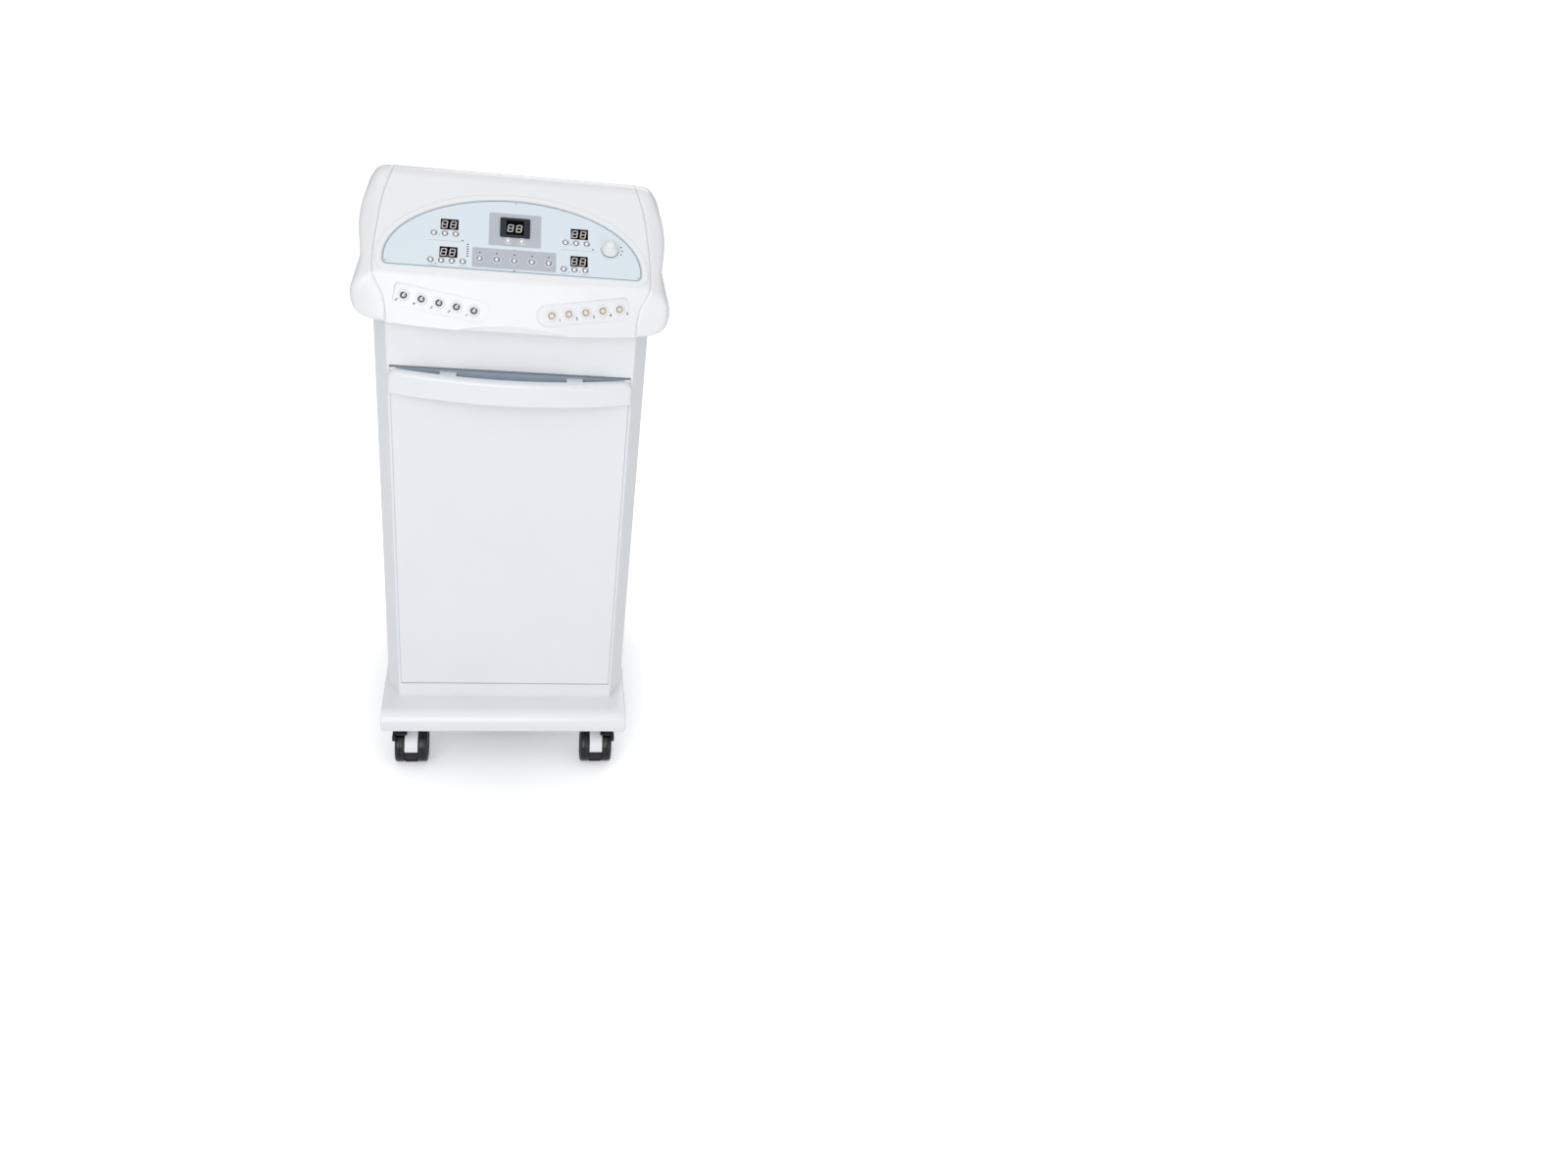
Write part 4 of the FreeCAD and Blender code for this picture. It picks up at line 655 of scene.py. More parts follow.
@dataclass
class PanelPrint:
    """Ink on the half-moon film: outline, grey fields, lines, marks and unlit lamps."""

    half_width: float = 181.0
    straight_side: float = 12.0
    arc_rise: float = 103.5
    arc_steps: int = 128
    corner: float = 8.0
    outline_inset: float = 0.9
    outline_width: float = 1.3
    ink: float = 0.06
    lamp_radius: float = 1.1
    level_lamps: tuple[float, ...] = (21.5, 25.2, 28.9, 32.6, 36.4, 40.1)
    knob_lamps: tuple[Point, ...] = ((151.0, 53.5), (152.5, 47.5), (151.0, 41.5))
    single_lamps: tuple[Point, ...] = ((-72.5, 45.5), (110.5, 46.5), (0.5, 3.0))
    strip_lamp_row: float = 28.5
    level_lamp_column: float = -65.0
    # Width, height, row and corner radius
    fields: Table = ((73.0, 52.6, 68.0, 2.0), (117.0, 31.0, 20.9, 1.5))
    rules: tuple[Point, ...] = ((-119.0, -68.0), (66.0, 117.0))
    rule_row: float = 43.2
    rule_width: float = 0.35
    # Width, height and row
    window_outlines: Table = ((30.0, 21.5, 69.5), (29.0, 20.5, 25.5))
    window_line: float = 0.2
    pointers_down: tuple[Point, ...] = ((-104.6, 52.0), (79.0, 52.2), (-93.2, 8.2), (92.2, 8.4))
    pointers_up: tuple[Point, ...] = ((-108.0, 7.0), (77.0, 7.4), (0.0, 36.8))
    pointer_radius: float = 1.5
    strip_ring: Point = (5.6, 6.3)
    caption_row: float = 10.2
    caption: Point = (2.2, 0.5)
    # First place, row and count
    dashes: tuple[tuple[float, float, int], ...] = (
        (-118.0, 4.6, 5), (-74.0, 4.6, 4), (66.0, 4.8, 4), (96.0, 4.8, 4))
    dash_pitch: float = 2.8
    dash: Point = (2.0, 0.7)
    scale_radius: float = 16.0
    scale_start: float = 222.0
    scale_step: float = 12.0
    scale_marks: int = 9
    scale_mark: Point = (0.4, 1.6)

    def build(self) -> None:
        """Make the print and the lamps."""
        self.outline()
        form = Form()
        for width, height, row, corner in self.fields:
            form.plate(width, height, self.ink, DESK @ moved(0.0, row), 0, corner=corner)
        for left, right in self.rules:
            spot = DESK @ moved((left + right) / 2, self.rule_row)
            form.plate(right - left, self.rule_width, self.ink, spot, 1)
        for width, height, row in self.window_outlines:
            for side in (-1, 1):
                spot = DESK @ moved(side * DISPLAY_COLUMN, row)
                form.plate(width, height, self.ink, spot, 2, band=self.window_line)
        self.marks(form)
        form.deliver("panel_print", "trolley", (FIELD_INK, GREY_INK, PALE_INK, PALE_INK))
        self.lamps()

    def outline(self) -> None:
        """Dark line just inside the film's edge."""
        shape = bmesh.new()
        bmesh.ops.create_circle(shape, cap_ends=False, segments=self.arc_steps, radius=1.0)
        drop_points(shape, [point for point in shape.verts if point.co.y < -1e-4])
        half, rise = self.half_width - self.outline_inset, self.arc_rise - self.outline_inset
        bmesh.ops.scale(shape, vec=(half, rise, 1.0), verts=shape.verts)
        ends = [point for point in shape.verts if abs(point.co.y) < 1e-3]
        corners = bmesh.ops.extrude_vert_indiv(shape, verts=ends)["verts"]
        drop = self.outline_inset - self.straight_side
        bmesh.ops.translate(shape, vec=(0.0, drop, 0.0), verts=corners)
        shape.edges.new(corners)
        bmesh.ops.edgeloop_fill(shape, edges=shape.edges[:])
        bmesh.ops.bevel(shape, geom=corners, offset=self.corner - self.outline_inset, segments=8,
                        profile=0.5, affect="VERTICES", material=-1)
        hollow_out(shape, self.outline_width)
        thicken(shape, self.ink)
        form = Form()
        form.join(shape, DESK @ moved(0.0, self.straight_side))
        form.deliver("panel_outline", "trolley", (OUTLINE_INK,))

    def marks(self, form: Form) -> None:
        """Add small triangles, dashes and ticks beside the buttons and the knob.

        Args:
            form: the print.
        """
        ink = 2 * self.ink
        for spots, angle in ((self.pointers_down, 180.0), (self.pointers_up, 0.0)):
            for u, v in spots:
                shape = bmesh.new()
                bmesh.ops.create_circle(shape, cap_ends=True, segments=3,
                                        radius=self.pointer_radius)
                thicken(shape, ink)
                form.join(shape, DESK @ moved(u, v) @ turned_about("Z", angle), 1)
        for u in STRIP_PLACES:
            form.plate(*self.caption, ink, DESK @ moved(u, self.caption_row), 1)
            form.turn([(radius, ink) for radius in self.strip_ring], DESK @ moved(u, STRIP_ROW),
                      3, 48)
        for first, row, count in self.dashes:
            for number in range(count):
                form.plate(*self.dash, ink, DESK @ moved(first + self.dash_pitch * number, row), 1)
        for number in range(self.scale_marks):
            around = turned_about("Z", self.scale_start + self.scale_step * number)
            spot = DESK @ moved(*KNOB_SPOT) @ around @ moved(self.scale_radius, 0.0)
            form.plate(*self.scale_mark, ink, spot, 1)

    def lamps(self) -> None:
        """Small unlit indicator lamps."""
        spots = [(u, self.strip_lamp_row) for u in STRIP_PLACES]
        spots += [(self.level_lamp_column, v) for v in self.level_lamps]
        form = Form()
        size = self.lamp_radius
        dome = [(0.0, 0.45), (size * 0.55, 0.4), (size * 0.85, 0.26), (size, 0.0)]
        for u, v in spots + list(self.knob_lamps + self.single_lamps):
            form.turn(dome, DESK @ moved(u, v), 0, 12)
        form.deliver("indicator_lamps", "trolley", (LAMP_LENS,))


@dataclass
class Displays:
    """Two-digit number displays: windows, the middle one's frame and the unlit segments."""

    rows: tuple[float, float] = (25.5, 69.5)
    window_top: float = 0.3
    digit_height: float = 12.0
    digit_width: float = 8.2
    digit_pitch: float = 11.8
    stroke: float = 1.45
    stroke_height: float = 0.06
    slant: float = 7.0
    shift: Point = (-0.7, -0.4)
    middle_row: float = 71.5
    middle_shift: Point = (-0.4, -1.0)
    frame_size: Point = (42.0, 31.0)
    frame_corner: float = 2.0
    frame_height: float = 1.8
    frame_edge: float = 0.4
    middle_window: Point = (24.6, 23.0)
    window_lap: float = 0.2
    window_height: float = 0.92

    def build(self) -> None:
        """Make the displays."""
        form = Form()
        for side in (-1, 1):
            for row in self.rows:
                spot = DESK @ moved(side * DISPLAY_COLUMN, row, self.window_top)
                self.pair(form, spot @ moved(*self.shift), row == self.rows[0])
        form.deliver("small_digits", "trolley", (DIGIT_GREY,))
        self.middle(DESK @ moved(0.0, self.middle_row))

    def middle(self, spot: Matrix) -> None:
        """Framed display in the middle of the panel.

        Args:
            spot: its middle on the panel's face.
        """
        form = Form()
        width, height = self.middle_window
        shape = flat_plate(*self.frame_size, self.frame_corner)
        bmesh.ops.delete(shape, geom=shape.faces[:], context="FACES_ONLY")
        opening = bmesh.ops.create_grid(shape, x_segments=1, y_segments=1, size=0.5)["verts"]
        bmesh.ops.scale(shape, vec=(width, height, 1.0), verts=opening)
        bmesh.ops.delete(shape, geom=shape.faces[:], context="FACES_ONLY")
        bmesh.ops.bridge_loops(shape, edges=shape.edges[:])
        thicken(shape, self.frame_height, self.frame_edge)
        form.join(shape, spot)
        lap, top = 2 * self.window_lap, self.window_height
        form.plate(width + lap, height + lap, top, spot, 1)
        self.pair(form, spot @ moved(*self.middle_shift, top), False, 2)
        form.deliver("middle_display", "trolley", (FRAME_CHARCOAL, DISPLAY_BLACK, DIGIT_GREY),
                     ("main_display",))

    def pair(self, form: Form, spot: Matrix, point: bool, finish: int = 0) -> None:
        """Two digits side by side.

        Args:
            form: form that gets them.
            spot: middle of the pair.
            point: whether a point shows between them.
            finish: number of their finish.
        """
        lean = Matrix.Identity(4)
        lean[0][1] = math.tan(math.radians(self.slant))
        for side in (-1, 1):
            self.digit(form, spot @ lean @ moved(side * self.digit_pitch / 2, 0.0), finish)
        if point:
            dot = spot @ moved(-0.4, -self.digit_height / 2)
            form.turn([(0.0, 0.07), (0.55, 0.07), (0.6, 0.0)], dot, finish, 10)

    def digit(self, form: Form, spot: Matrix, finish: int) -> None:
        """Seven segments of one digit.

        Args:
            form: form that gets them.
            spot: middle of the digit.
            finish: number of their finish.
        """
        tall, wide = self.digit_height / 2 - self.stroke / 2, self.digit_width / 2 - self.stroke / 2
        bars = [(0.0, row, 2 * wide, 0.0) for row in (-tall, 0.0, tall)]
        bars += [(side * wide, row * tall / 2, tall, 90.0) for side in (-1, 1) for row in (-1, 1)]
        for u, v, length, angle in bars:
            place = spot @ moved(u, v) @ turned_about("Z", angle)
            form.plate(length, self.stroke, self.stroke_height, place, finish,
                       corner=self.stroke * 0.46)


@dataclass
class PushButtons:
    """Domed caps in clear guide rings, one cap on each button's own body."""

    cap_radius: float = 3.35
    cap_rise: float = 3.0
    ring_radius: float = 4.8
    main_ring_radius: float = 5.6
    ring_rise: float = 1.3
    tube_radius: float = 4.4
    panel_thickness: float = 2.0
    # Name, places and row
    groups: tuple[tuple[str, tuple[float, ...], float], ...] = (
        ("upper_left", (-112.0, -97.0, -82.0), 54.5),
        ("lower_left", (-115.0, -100.5, -86.0, -71.0), 11.8),
        ("main", (-9.5, 9.5), 50.2),
        ("strip", STRIP_PLACES, STRIP_ROW),
        ("upper_right", (71.5, 86.5, 101.5), 54.5),
        ("lower_right", (69.5, 84.5, 100.0), 11.8))

    def build(self) -> None:
        """Make the caps and their rings."""
        rings = Form()
        for group, places, row in self.groups:
            white = group == "main"
            for number, place in enumerate(places, 1):
                spot = DESK @ moved(place, row)
                self.ring(rings, spot, self.main_ring_radius if white else self.ring_radius)
                self.cap(f"{group}_button_{number}", spot, white)
        rings.deliver("button_rings", "trolley", (CLEAR_RING, RING_GAP_SHADE), ("button_guides",))

    def ring(self, form: Form, spot: Matrix, outer: float) -> None:
        """Clear ring, with a dark flat ring painted as the shade in the gap round the cap.

        Args:
            form: form that gets it.
            spot: its middle on the panel's face.
            outer: its outer radius.
        """
        rise, bore = self.ring_rise, self.cap_radius + 0.1
        low = -self.panel_thickness
        tube = self.tube_radius
        form.turn([(bore + 0.75, 0.35), (bore + 0.75, rise - 0.1), (bore + 0.95, rise),
                   (outer - 0.35, rise - 0.1), (outer, rise - 0.6), (outer, 0.0), (tube, 0.0),
                   (tube, low), (bore, low), (bore, 0.3), (bore + 0.75, 0.35)], spot)
        # Dark flat ring in the gap round the cap: painted shade.
        form.turn([(bore, 0.36), (bore + 0.7, 0.4)], spot, 1)

    def cap(self, node: str, spot: Matrix, white: bool) -> None:
        """Domed cap with its retaining flange and stem.

        Args:
            node: CAD node of the button, which is also its body.
            spot: its middle on the panel's face.
            white: whether it is white plastic, not chrome.
        """
        radius, rise = self.cap_radius, self.cap_rise
        form = Form()
        form.turn([(0.0, -7.3), (1.8, -7.3), (1.8, -3.1), (4.2, -3.1), (4.2, -2.3), (radius, -2.3),
                   (radius, rise - 1.5), (radius - 0.12, rise - 1.1), (radius - 0.45, rise - 0.7),
                   (radius - 1.0, rise - 0.38), (radius - 1.7, rise - 0.15), (1.0, rise - 0.03),
                   (0.0, rise)], spot, 0, 28)
        form.deliver(f"{node}_cap", node, (CAP_PLASTIC if white else BUTTON_CHROME,), (node,))


@dataclass
class ModeKnob:
    """Tapered white knob with finger ribs and a round top."""

    skirt_radius: float = 12.0
    top_radius: float = 6.2
    height: float = 15.6
    shaft_end: float = -7.0
    bore_radius: float = 5.2
    ribs: int = 6
    rib_size: Triple = (5.6, 2.1, 1.7)
    rib_place: Triple = (8.0, 0.0, 9.0)
    rib_lean: float = 52.0
    first_rib: float = 15.0

    def build(self) -> None:
        """Make the knob, and a dark ring under its skirt painted as the shade beneath it."""
        spot = DESK @ moved(*KNOB_SPOT)
        form = Form()
        skirt, top, height = self.skirt_radius, self.top_radius, self.height
        form.turn([(0.0, self.shaft_end), (3.0, self.shaft_end), (3.0, 0.4), (skirt - 0.6, 0.4),
                   (skirt, 1.0), (skirt, 3.4), (skirt - 0.4, 4.4), (skirt - 1.6, 6.2),
                   (skirt - 3.0, 8.6),
                   (top + 1.9, 11.0), (top + 0.5, 12.6), (top, 13.0), (top, height - 1.4),
                   (top - 0.4, height - 0.6), (top - 1.3, height - 0.1), (0.0, height)],
                  spot, 0, 60)
        for number in range(self.ribs):
            turn = spot @ turned_about("Z", 360.0 * number / self.ribs + self.first_rib)
            shape = bmesh.new()
            bmesh.ops.create_uvsphere(shape, u_segments=16, v_segments=10, radius=1.0)
            bmesh.ops.scale(shape, vec=self.rib_size, verts=shape.verts)
            form.join(shape, turn @ moved(*self.rib_place) @ turned_about("Y", self.rib_lean))
        form.deliver("mode_knob_cap", "mode_knob", (KNOB_WHITE,), ("mode_knob",))
        # Thin dark ring under the knob's skirt: painted shade beneath the skirt.
        shade_ring, bore = Form(), self.bore_radius
        shade_ring.turn([(bore, 0.0), (skirt + 0.5, 0.0), (skirt + 0.4, 0.3), (bore, 0.3), (bore, 0.0)],
                  spot, 0, 48)
        shade_ring.deliver("knob_shade_ring", "trolley", (FRAME_CHARCOAL,))


# Sockets

@dataclass
class SocketRow:
    """Five round sockets and their numbers on one slanted tray of the apron."""

    side: Side
    count: int = 5
    pitch: float = 24.4
    middle: Triple = (0.1023, -0.17814, 0.8338)
    yaw: float = 3.27
    lean: float = 65.28
    slant: float = 7.8
    floor: float = -2.5
    flange_radius: float = 8.0
    flange_height: float = 2.2
    mouth_radius: float = 5.0
    mouth_depth: float = 1.8
    key_angle: float = -18.0
    holes: tuple[float, ...] = (150.0, 270.0, 20.0)
    leaves: int = 8
    first_leaf: float = 10.0
    number_height: float = 5.4
    # Place beside the socket, and turn
    left_label: Triple = (-9.2, -8.2, -38.0)
    right_label: Triple = (10.6, -7.0, -6.0)

    def frame(self) -> Matrix:
        """Frame of the tray: along the row to the right, up the apron, and out of it.

        Returns:
            The frame, in millimetres.
        """
        right = (moved(*self.middle) @ turned_about("Z", self.yaw) @ turned_about("X", self.lean)
                 @ turned_about("Z", self.slant))
        mirror = Matrix.Scale(-1.0, 4, (1.0, 0.0, 0.0))
        return (right if self.side is Side.RIGHT else mirror @ right @ mirror) @ MM

    def build(self) -> None:
        """Make the sockets and the numbers."""
        tray = self.frame()
        left = self.side is Side.LEFT
        kind, inside, add_socket, (u, v, turn) = (
            ("ems", SOCKET_DARK, self.snap_socket, self.left_label) if left
            else ("heat", SOCKET_BRASS, self.leaf_socket, self.right_label))
        label = moved(u, v, PRINT_DEPTH) @ turned_about("Z", turn)
        sockets, numbers = Form(), Form()
        for index in range(self.count):
            spot = tray @ moved((index - (self.count - 1) / 2) * self.pitch, 0.0, self.floor)
            add_socket(sockets, spot)
            number = self.count - index if left else index + 1
            numbers.number(str(number), self.number_height, spot @ label)
        sockets.deliver(f"{kind}_socket_row", "trolley",
                        (SOCKET_WHITE, SOCKET_CHROME, inside, SOCKET_IVORY), (f"{kind}_sockets",))
        numbers.deliver(f"{kind}_socket_numbers", "trolley", (BLACK_INK,))

    @property
    def well(self) -> float:
        """Height of the mouth's bottom."""
        return self.flange_height - self.mouth_depth

    def socket(self, form: Form, spot: Matrix, ring: Triple, core: Point, back: int) -> None:
        """White flange and barrel, with a chrome ring and an ivory core in the mouth.

        Args:
            form: form that gets them.
            spot: middle of the socket on the tray's floor.
            ring: inset, wire radius and depth of the chrome ring.
            core: radius and height of the core.
            back: number of the finish at the mouth's bottom.
        """
        outer, rise, mouth = self.flange_radius, self.flange_height, self.mouth_radius
        form.turn([(0.0, -11.5), (5.95, -11.5), (5.95, 0.0), (outer, 0.0), (outer, rise - 0.9),
                   (outer - 0.4, rise - 0.3), (outer - 1.1, rise), (mouth + 0.9, rise),
                   (mouth + 0.6, rise - 0.25), (mouth + 0.3, rise - 0.3), (mouth, rise - 0.7),
                   (mouth, self.well), (0.0, self.well)], spot, 0, 40)
        inset, wire, depth = ring
        form.hoop(mouth - inset, wire, spot @ moved(0.0, 0.0, rise - depth), 1)
        form.turn([(0.0, self.well + 0.05), (mouth - 0.1, self.well + 0.05)], spot, back, 32)
        radius, top = core[0], self.well + core[1]
        form.turn([(0.0, top), (radius - 0.4, top - 0.05), (radius, top - 0.4),
                   (radius, self.well)], spot, 3, 24)

    def snap_socket(self, form: Form, spot: Matrix) -> None:
        """Socket with a key, and three dark discs on its core painted as the shade in its holes.

        Args:
            form: form that gets it.
            spot: its middle on the tray's floor.
        """
        self.socket(form, spot, (0.25, 0.38, 0.35), (2.5, 1.5), 2)
        key = spot @ turned_about("Z", self.key_angle) @ moved(0.0, 3.4, self.well)
        form.plate(1.5, 2.6, 1.3, key, 3, edge=0.2)
        # Dark discs on the core: painted shade standing for three holes.
        for angle in self.holes:
            hole = turned_about("Z", angle) @ moved(1.35, 0.0, self.well + 1.46)
            form.turn([(0.0, 0.05), (0.62, 0.05), (0.62, -0.3)], spot @ hole, 2, 12)

    def leaf_socket(self, form: Form, spot: Matrix) -> None:
        """Socket with a ring of brass leaves round its core.

        Args:
            form: form that gets it.
            spot: its middle on the tray's floor.
        """
        self.socket(form, spot, (0.15, 0.3, 0.3), (2.7, 1.3), 3)
        for number in range(self.leaves):
            around = turned_about("Z", 360.0 / self.leaves * number + self.first_leaf)
            place = spot @ around @ moved(3.85, 0.0, self.well)
            form.plate(1.1, 1.7, 1.1, place, 2, corner=0.3, edge=0.2)


# Door

@dataclass
class DoorSeal:
    """Grey lip in the hairline round the door, its grey painted as the seam's shade, and a dark
    sheet painted as the shade in the finger gap behind the grip.
    """

    width: float = 348.0
    bottom: float = 140.7
    top: float = 724.0
    face: float = -161.4
    lip: float = 0.45
    overlap: float = 0.3
    setback: float = 0.8
    depth: float = 2.4
    lining_width: float = 331.0
    lining_height: float = 36.0
    lining_thickness: float = 1.4
    lining_root: float = 1.0
    lining_rise: float = 0.3

    def build(self) -> None:
        """Make the lip and the sheet of painted gap shade."""
        upright = turned_about("X", 90.0)
        form = Form()
        height = self.top - self.bottom + self.lip
        back = self.face + self.setback + self.depth
        form.plate(self.width + 2 * self.lip, height, self.depth,
                   MM @ moved(0.0, back, self.bottom + height / 2) @ upright,
                   band=self.lip + self.overlap)
        # Faces in the lip's top band get the painted gap shade, the rest the painted seam shade.
        for face in form.mesh.faces:
            in_gap_shade = face.calc_center_median().z > (self.top - self.lining_height) / 1000
            face.material_index = int(in_gap_shade)
        form.deliver("door_lip", "door", (DOOR_SEAM_SHADE, GAP_SHADE))
        # Dark sheet on the door behind the grip: painted shade of the finger gap.
        form = Form()
        row = self.top + self.lining_rise - self.lining_height / 2
        form.plate(self.lining_width, self.lining_height, self.lining_thickness,
                   MM @ moved(0.0, self.face + self.lining_root, row) @ upright)
        form.deliver("grip_gap_shade", "door", (GAP_SHADE,))


# Casters

@dataclass
class Caster:
    """Twin-wheel caster: two-colour hood, brake tab and moulded wheels."""

    corner: str
    side: int
    end: int
    swivel: Point = (156.6, 166.0)
    trail: float = 23.0
    axle_height: float = 30.0
    wheel_radius: float = 30.0
    hood_width: float = 22.0
    wheel_width: float = 16.0
    cover_foot: float = 35.0
    block_foot: float = 7.0
    block_length: float = 40.0
    arm: Triple = (22.0, 9.0, 2.6)
    tab: Triple = (5.0, 17.0, 9.0)
    # Height, and distance outwards and away from the swivel
    arm_spot: Triple = (61.5, 18.0, 10.0)
    tab_spot: Triple = (58.0, 28.0, 17.5)
    ribs: int = 8
    rib: Triple = (11.4, 2.0, 1.7)
    rib_radius: float = 15.2

    def build(self) -> None:
        """Make the caster."""
        self.hood()
        self.wheels()

    def over_wheels(self, height: float, out: float = 0.0, away: float = 0.0) -> Matrix:
        """Place at the middle of the wheels, moved out to the side and away from the swivel."""
        return MM @ moved(self.side * (self.swivel[0] + out),
                          self.end * (self.swivel[1] + self.trail + away), height)

    def axle(self) -> Matrix:
        """Middle of the axle, with Z along it towards the trolley's side."""
        return self.over_wheels(self.axle_height) @ turned_about("Y", 90.0 * self.side)

    def hood(self) -> None:
        """White cover over a black frame, with a brake tab over the outer wheel."""
        node = f"caster_hood_{self.corner}"
        shape = shape_of(frame["nodes"][node].data)
        bmesh.ops.remove_doubles(shape, verts=shape.verts, dist=1e-7)
        whole = shape.verts[:] + shape.edges[:] + shape.faces[:]
        bmesh.ops.bisect_plane(shape, geom=whole, dist=1e-7,
                               plane_co=(0, 0, self.cover_foot / 1000), plane_no=(0, 0, 1))
        form = Form()
        form.join(shape, Matrix.Identity(4))
        for face in form.mesh.faces:
            face.material_index = int(face.calc_center_median().z < self.cover_foot / 1000)
        block_height = self.cover_foot - self.block_foot - 0.6
        form.plate(self.hood_width, self.block_length, block_height,
                   self.over_wheels(self.block_foot), 1, corner=2.0, edge=0.6)
        form.plate(*self.arm, self.over_wheels(*self.arm_spot), 1, corner=2.0, edge=0.6)
        form.plate(*self.tab, self.over_wheels(*self.tab_spot), 1, corner=1.8, edge=1.2)
        form.deliver(f"caster_cover_{self.corner}", f"caster_{self.corner}",
                     (CASTER_WHITE, CASTER_BLACK), (node,))

    def wheels(self) -> None:
        """Two wheels with a tyre, a ribbed hub and an axle cap."""
        form = Form()
        near = self.hood_width / 2 + 0.01
        far = near + self.wheel_width
        rim = self.wheel_radius
        end = far - 3.0
        form.turn([(0.0, -end), (3.95, -end), (3.95, end), (0.0, end)], self.axle(), 1, 20)
        for way in (0.0, 180.0):
            spot = self.axle() @ turned_about("X", way)
            form.turn([(22.5, near + 1.0), (22.5, near), (rim - 2.4, near), (rim - 0.8, near + 0.7),
                       (rim, near + 2.6), (rim, near + 7.4), (rim - 0.5, near + 8.0),
                       (rim, near + 8.6), (rim, far - 3.0), (rim - 1.0, far - 1.1),
                       (rim - 3.4, far), (22.5, far), (22.5, far - 1.0)], spot, 0, 64)
            form.turn([(3.9, near), (9.0, near), (9.0, near + 1.5), (21.0, near + 1.5),
                       (22.6, near + 0.6), (22.6, far - 0.5), (21.6, far - 0.4), (20.6, far - 2.0),
                       (10.6, far - 2.2), (9.4, far - 0.6), (7.8, far - 0.3), (7.0, far - 1.2),
                       (5.0, far - 1.2), (4.4, far - 0.6), (0.0, far - 0.4)], spot, 1, 48)
            for number in range(self.ribs):
                around = turned_about("Z", 360.0 / self.ribs * number)
                place = spot @ around @ moved(self.rib_radius, 0.0, far - 2.6)
                form.plate(*self.rib, place, 1, corner=0.4, edge=0.3)
        form.deliver(f"caster_tyres_{self.corner}", f"wheels_{self.corner}",
                     (TYRE_BLACK, HUB_BLACK), (f"caster_wheels_{self.corner}",))


# Rear

@dataclass
class RearTrim:
    """Fan guard and outlet numbers on the rear panel."""

    face: float = 198.0
    fan: Point = (118.0, 560.0)
    guard_rings: tuple[float, ...] = (12.0, 20.0, 28.0, 36.0, 43.5)
    guard_row: float = 1.9
    wire: float = 0.8
    arms: tuple[float, ...] = (45.0, 135.0, 225.0, 315.0)
    arm: Triple = (46.0, 1.6, 1.2)
    arm_place: Triple = (35.0, 0.0, -1.6)
    outlet_middle: float = 700.0
    outlet_pitch: float = 24.0
    outlet_row_pitch: float = 30.0
    outlets: tuple[int, int] = (12, 2)
    number_rise: float = 11.0
    number_height: float = 5.0

    def build(self) -> None:
        """Make the guard and the numbers."""
        upright = turned_about("X", -90.0) @ turned_about("Z", 180.0)
        behind = MM @ moved(0.0, self.face, 0.0) @ upright
        guard = Form()
        spot = behind @ moved(-self.fan[0], self.fan[1], self.guard_row)
        for radius in self.guard_rings:
            guard.hoop(radius, self.wire, spot)
        guard.turn([(0.0, 0.9), (11.0, 0.9), (11.8, 0.4), (11.8, -0.6), (0.0, -0.6)], spot, 0, 32)
        for angle in self.arms:
            place = spot @ turned_about("Z", angle) @ moved(*self.arm_place)
            guard.plate(*self.arm, place, 0, corner=0.6)
        guard.deliver("fan_guard", "trolley", (GUARD_WIRE,))
        numbers = Form()
        columns, rows = self.outlets
        top = self.outlet_middle + self.number_rise
        for index in range(rows * columns):
            row, column = divmod(index, columns)
            x = (column - (columns - 1) / 2) * self.outlet_pitch
            z = top + ((rows - 1) / 2 - row) * self.outlet_row_pitch
            spot = behind @ moved(x, z, PRINT_DEPTH)
            numbers.number(str(index + 1), self.number_height, spot)
        numbers.deliver("outlet_numbers", "trolley", (BLACK_INK,))


# Studio

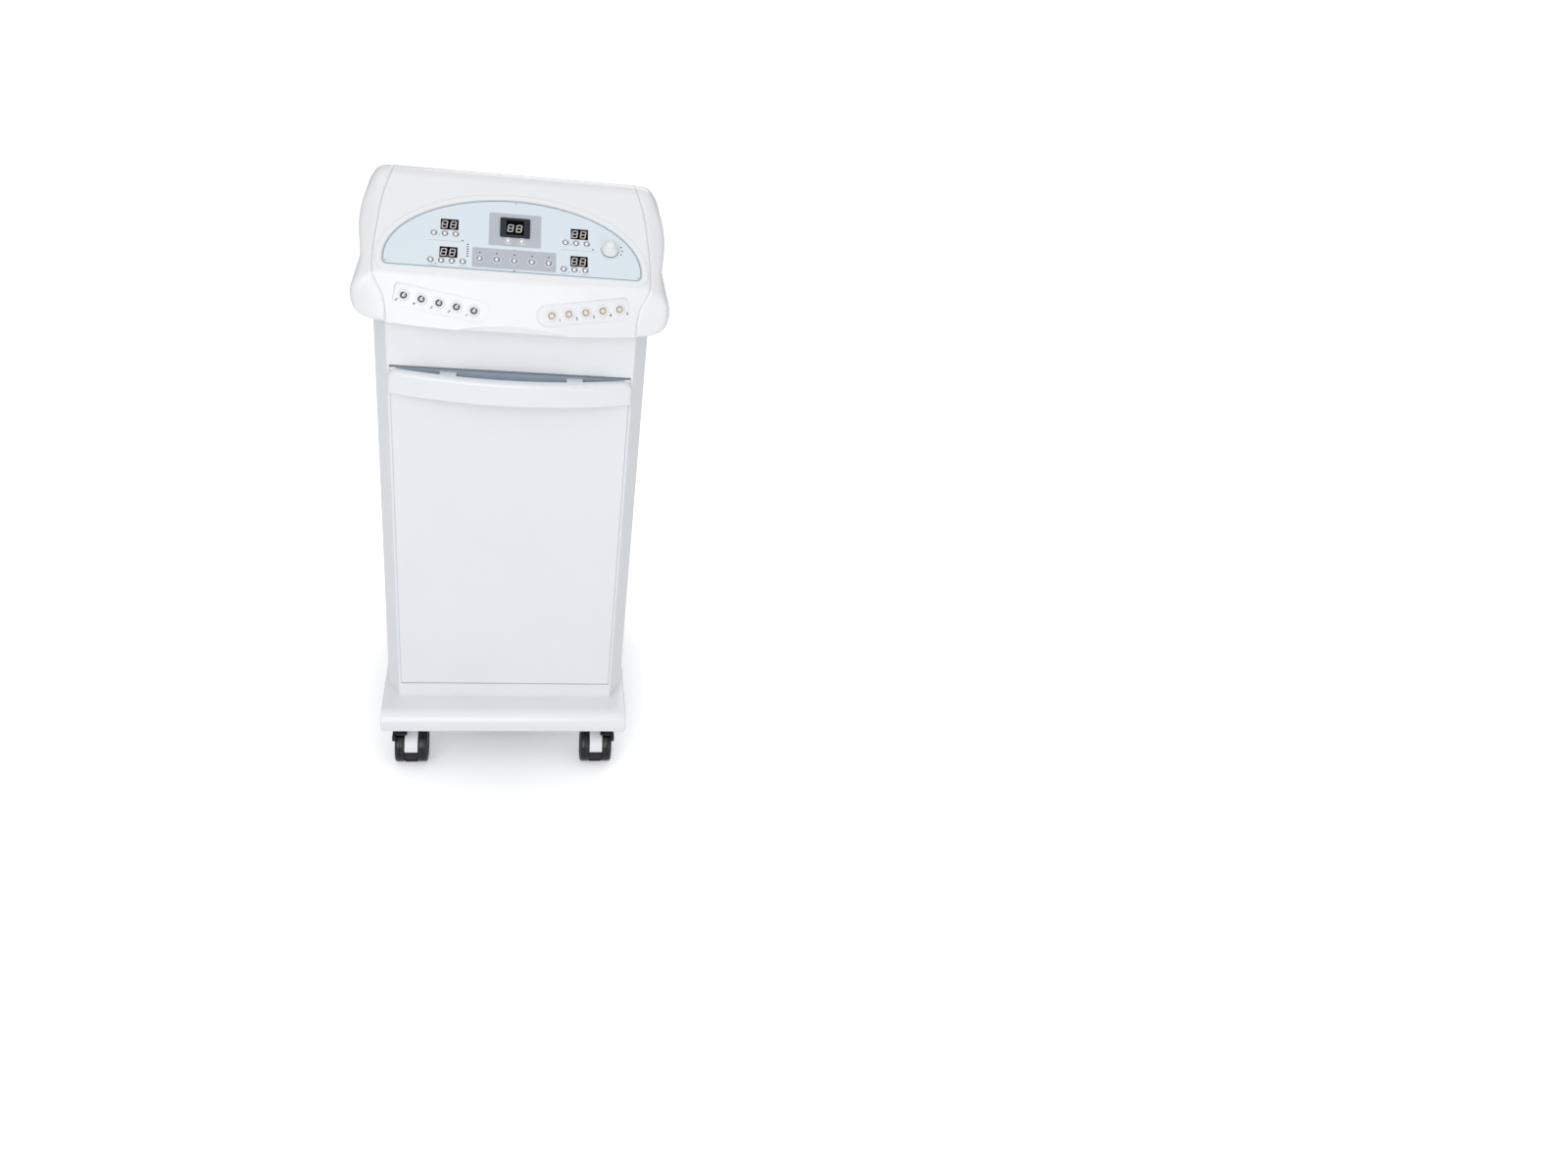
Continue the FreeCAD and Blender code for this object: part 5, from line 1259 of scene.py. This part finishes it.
@dataclass
class Studio:
    """Floor, daylight, lamps and camera."""

    camera_place: Triple = (0.0154, -1.9474, 1.554)
    pitch: float = 33.09
    yaw: float = 13.99
    roll: float = 9.11
    lens: float = 29.56
    sensor_width: float = 36.0
    floor_radius: float = 60.0
    floor_colour: tuple[float, ...] = (0.86, 0.86, 0.87, 1.0)
    floor_roughness: float = 0.9
    daylight: tuple[float, ...] = (0.97, 0.985, 1.0, 1.0)
    # Camera-only glow near and far off the pump; lower near it, as painted contact shadow.
    near_glow: float = 0.0
    far_glow: float = 0.55
    shade_falloff: Triple = (2.8, 2.0, 1.0)
    ambient: float = 0.585
    lamp_aim: Triple = (0.0, 0.0, 0.55)
    # Name, place and edge in metres, power in watts
    lamps: tuple[tuple[str, Triple, float, float], ...] = (
        ("key_lamp", (-0.9, -3.4, 2.3), 2.6, 49.0),
        ("fill_lamp", (1.6, -3.2, 1.2), 2.4, 12.0),
        ("top_lamp", (-0.3, -1.2, 3.5), 2.4, 12.0),
        ("rear_lamp", (0.6, 2.6, 2.4), 2.0, 15.0))

    def build(self) -> None:
        """Set up everything that isn't part of the pump."""
        self.make_floor()
        self.make_world()
        self.make_lamps()
        self.make_camera()
        bpy.context.scene.view_settings.view_transform = "Standard"

    def make_floor(self) -> None:
        """Round pale floor that glows white to the camera far off, with the glow fading towards the
        pump to paint a darker patch of contact shadow over the real shadow.
        """
        mesh = bmesh.new()
        bmesh.ops.create_circle(mesh, cap_ends=True, segments=96, radius=self.floor_radius)
        data = bpy.data.meshes.new("studio_floor")
        mesh.to_mesh(data)
        mesh.free()
        floor = put("studio_floor", data)
        material = bpy.data.materials.new("studio_floor")
        graph = Graph(material)
        # The glow fades in an ellipse towards the pump: a painted patch of contact shadow.
        nearness = graph.add("TexGradient", {"Vector": graph.coords(self.shade_falloff)},
                             gradient_type="SPHERICAL")["Fac"]
        seen = graph.add("LightPath", {})["Is Camera Ray"]
        glow = graph.spread(nearness, self.far_glow, self.near_glow)
        glow = graph.add("Math", {0: seen, 1: glow}, operation="MULTIPLY")["Value"]
        shader = graph.add("BsdfPrincipled", {
            "Base Color": self.floor_colour, "Roughness": self.floor_roughness,
            "Emission Color": WHITE, "Emission Strength": glow})["BSDF"]
        graph.add("OutputMaterial", {"Surface": shader})
        data.materials.append(material)

    def make_world(self) -> None:
        """Even white daylight, full white to the camera and in reflections."""
        world = bpy.data.worlds.new("studio_world")
        graph = Graph(world)
        light, shown = (
            graph.add("Background", {"Color": colour, "Strength": strength})["Background"]
            for colour, strength in ((self.daylight, self.ambient), (WHITE, 1.0)))
        seen = graph.add("LightPath", {})["Is Camera Ray"]
        mix = graph.add("MixShader", {0: seen, 1: light, 2: shown})["Shader"]
        graph.add("OutputWorld", {"Surface": mix})
        bpy.context.scene.world = world

    def make_lamps(self) -> None:
        """Square soft lamps aimed at the middle of the pump."""
        for name, place, size, power in self.lamps:
            data = bpy.data.lights.new(name, "AREA")
            data.size = size
            data.energy = power
            lamp = put(name, data)
            lamp.location = place
            aim = Vector(self.lamp_aim) - Vector(place)
            lamp.rotation_euler = aim.to_track_quat("-Z", "Y").to_euler()

    def make_camera(self) -> None:
        """Camera that looks down at the pump from the front, a little rolled."""
        pitch, yaw, roll = (math.radians(angle) for angle in (self.pitch, self.yaw, self.roll))
        level = math.cos(pitch)
        forward = Vector((math.sin(yaw) * level, math.cos(yaw) * level, -math.sin(pitch)))
        right = Vector((math.cos(yaw), -math.sin(yaw), 0.0))
        up = right.cross(forward)
        across = right * math.cos(roll) + up * math.sin(roll)
        upward = up * math.cos(roll) - right * math.sin(roll)
        data = bpy.data.cameras.new("camera")
        data.sensor_width = self.sensor_width
        data.lens = self.lens
        camera = put("camera", data)
        turn = Matrix((across, upward, -forward)).transposed().to_4x4()
        camera.matrix_world = Matrix.Translation(self.camera_place) @ turn
        bpy.context.scene.camera = camera


def main() -> None:
    """Build the studio and every sub-assembly in order."""
    logging.basicConfig(level=logging.INFO, format="%(message)s")
    Studio().build()
    dress_nodes()
    for side in Side:
        EndCap(side).build()
    PanelPrint().build()
    Displays().build()
    PushButtons().build()
    ModeKnob().build()
    for side in Side:
        SocketRow(side).build()
    DoorSeal().build()
    for corner, side, end in (("fl", -1, -1), ("fr", 1, -1), ("rl", -1, 1), ("rr", 1, 1)):
        Caster(corner, side, end).build()
    RearTrim().build()


if __name__ == "__main__":
    main()
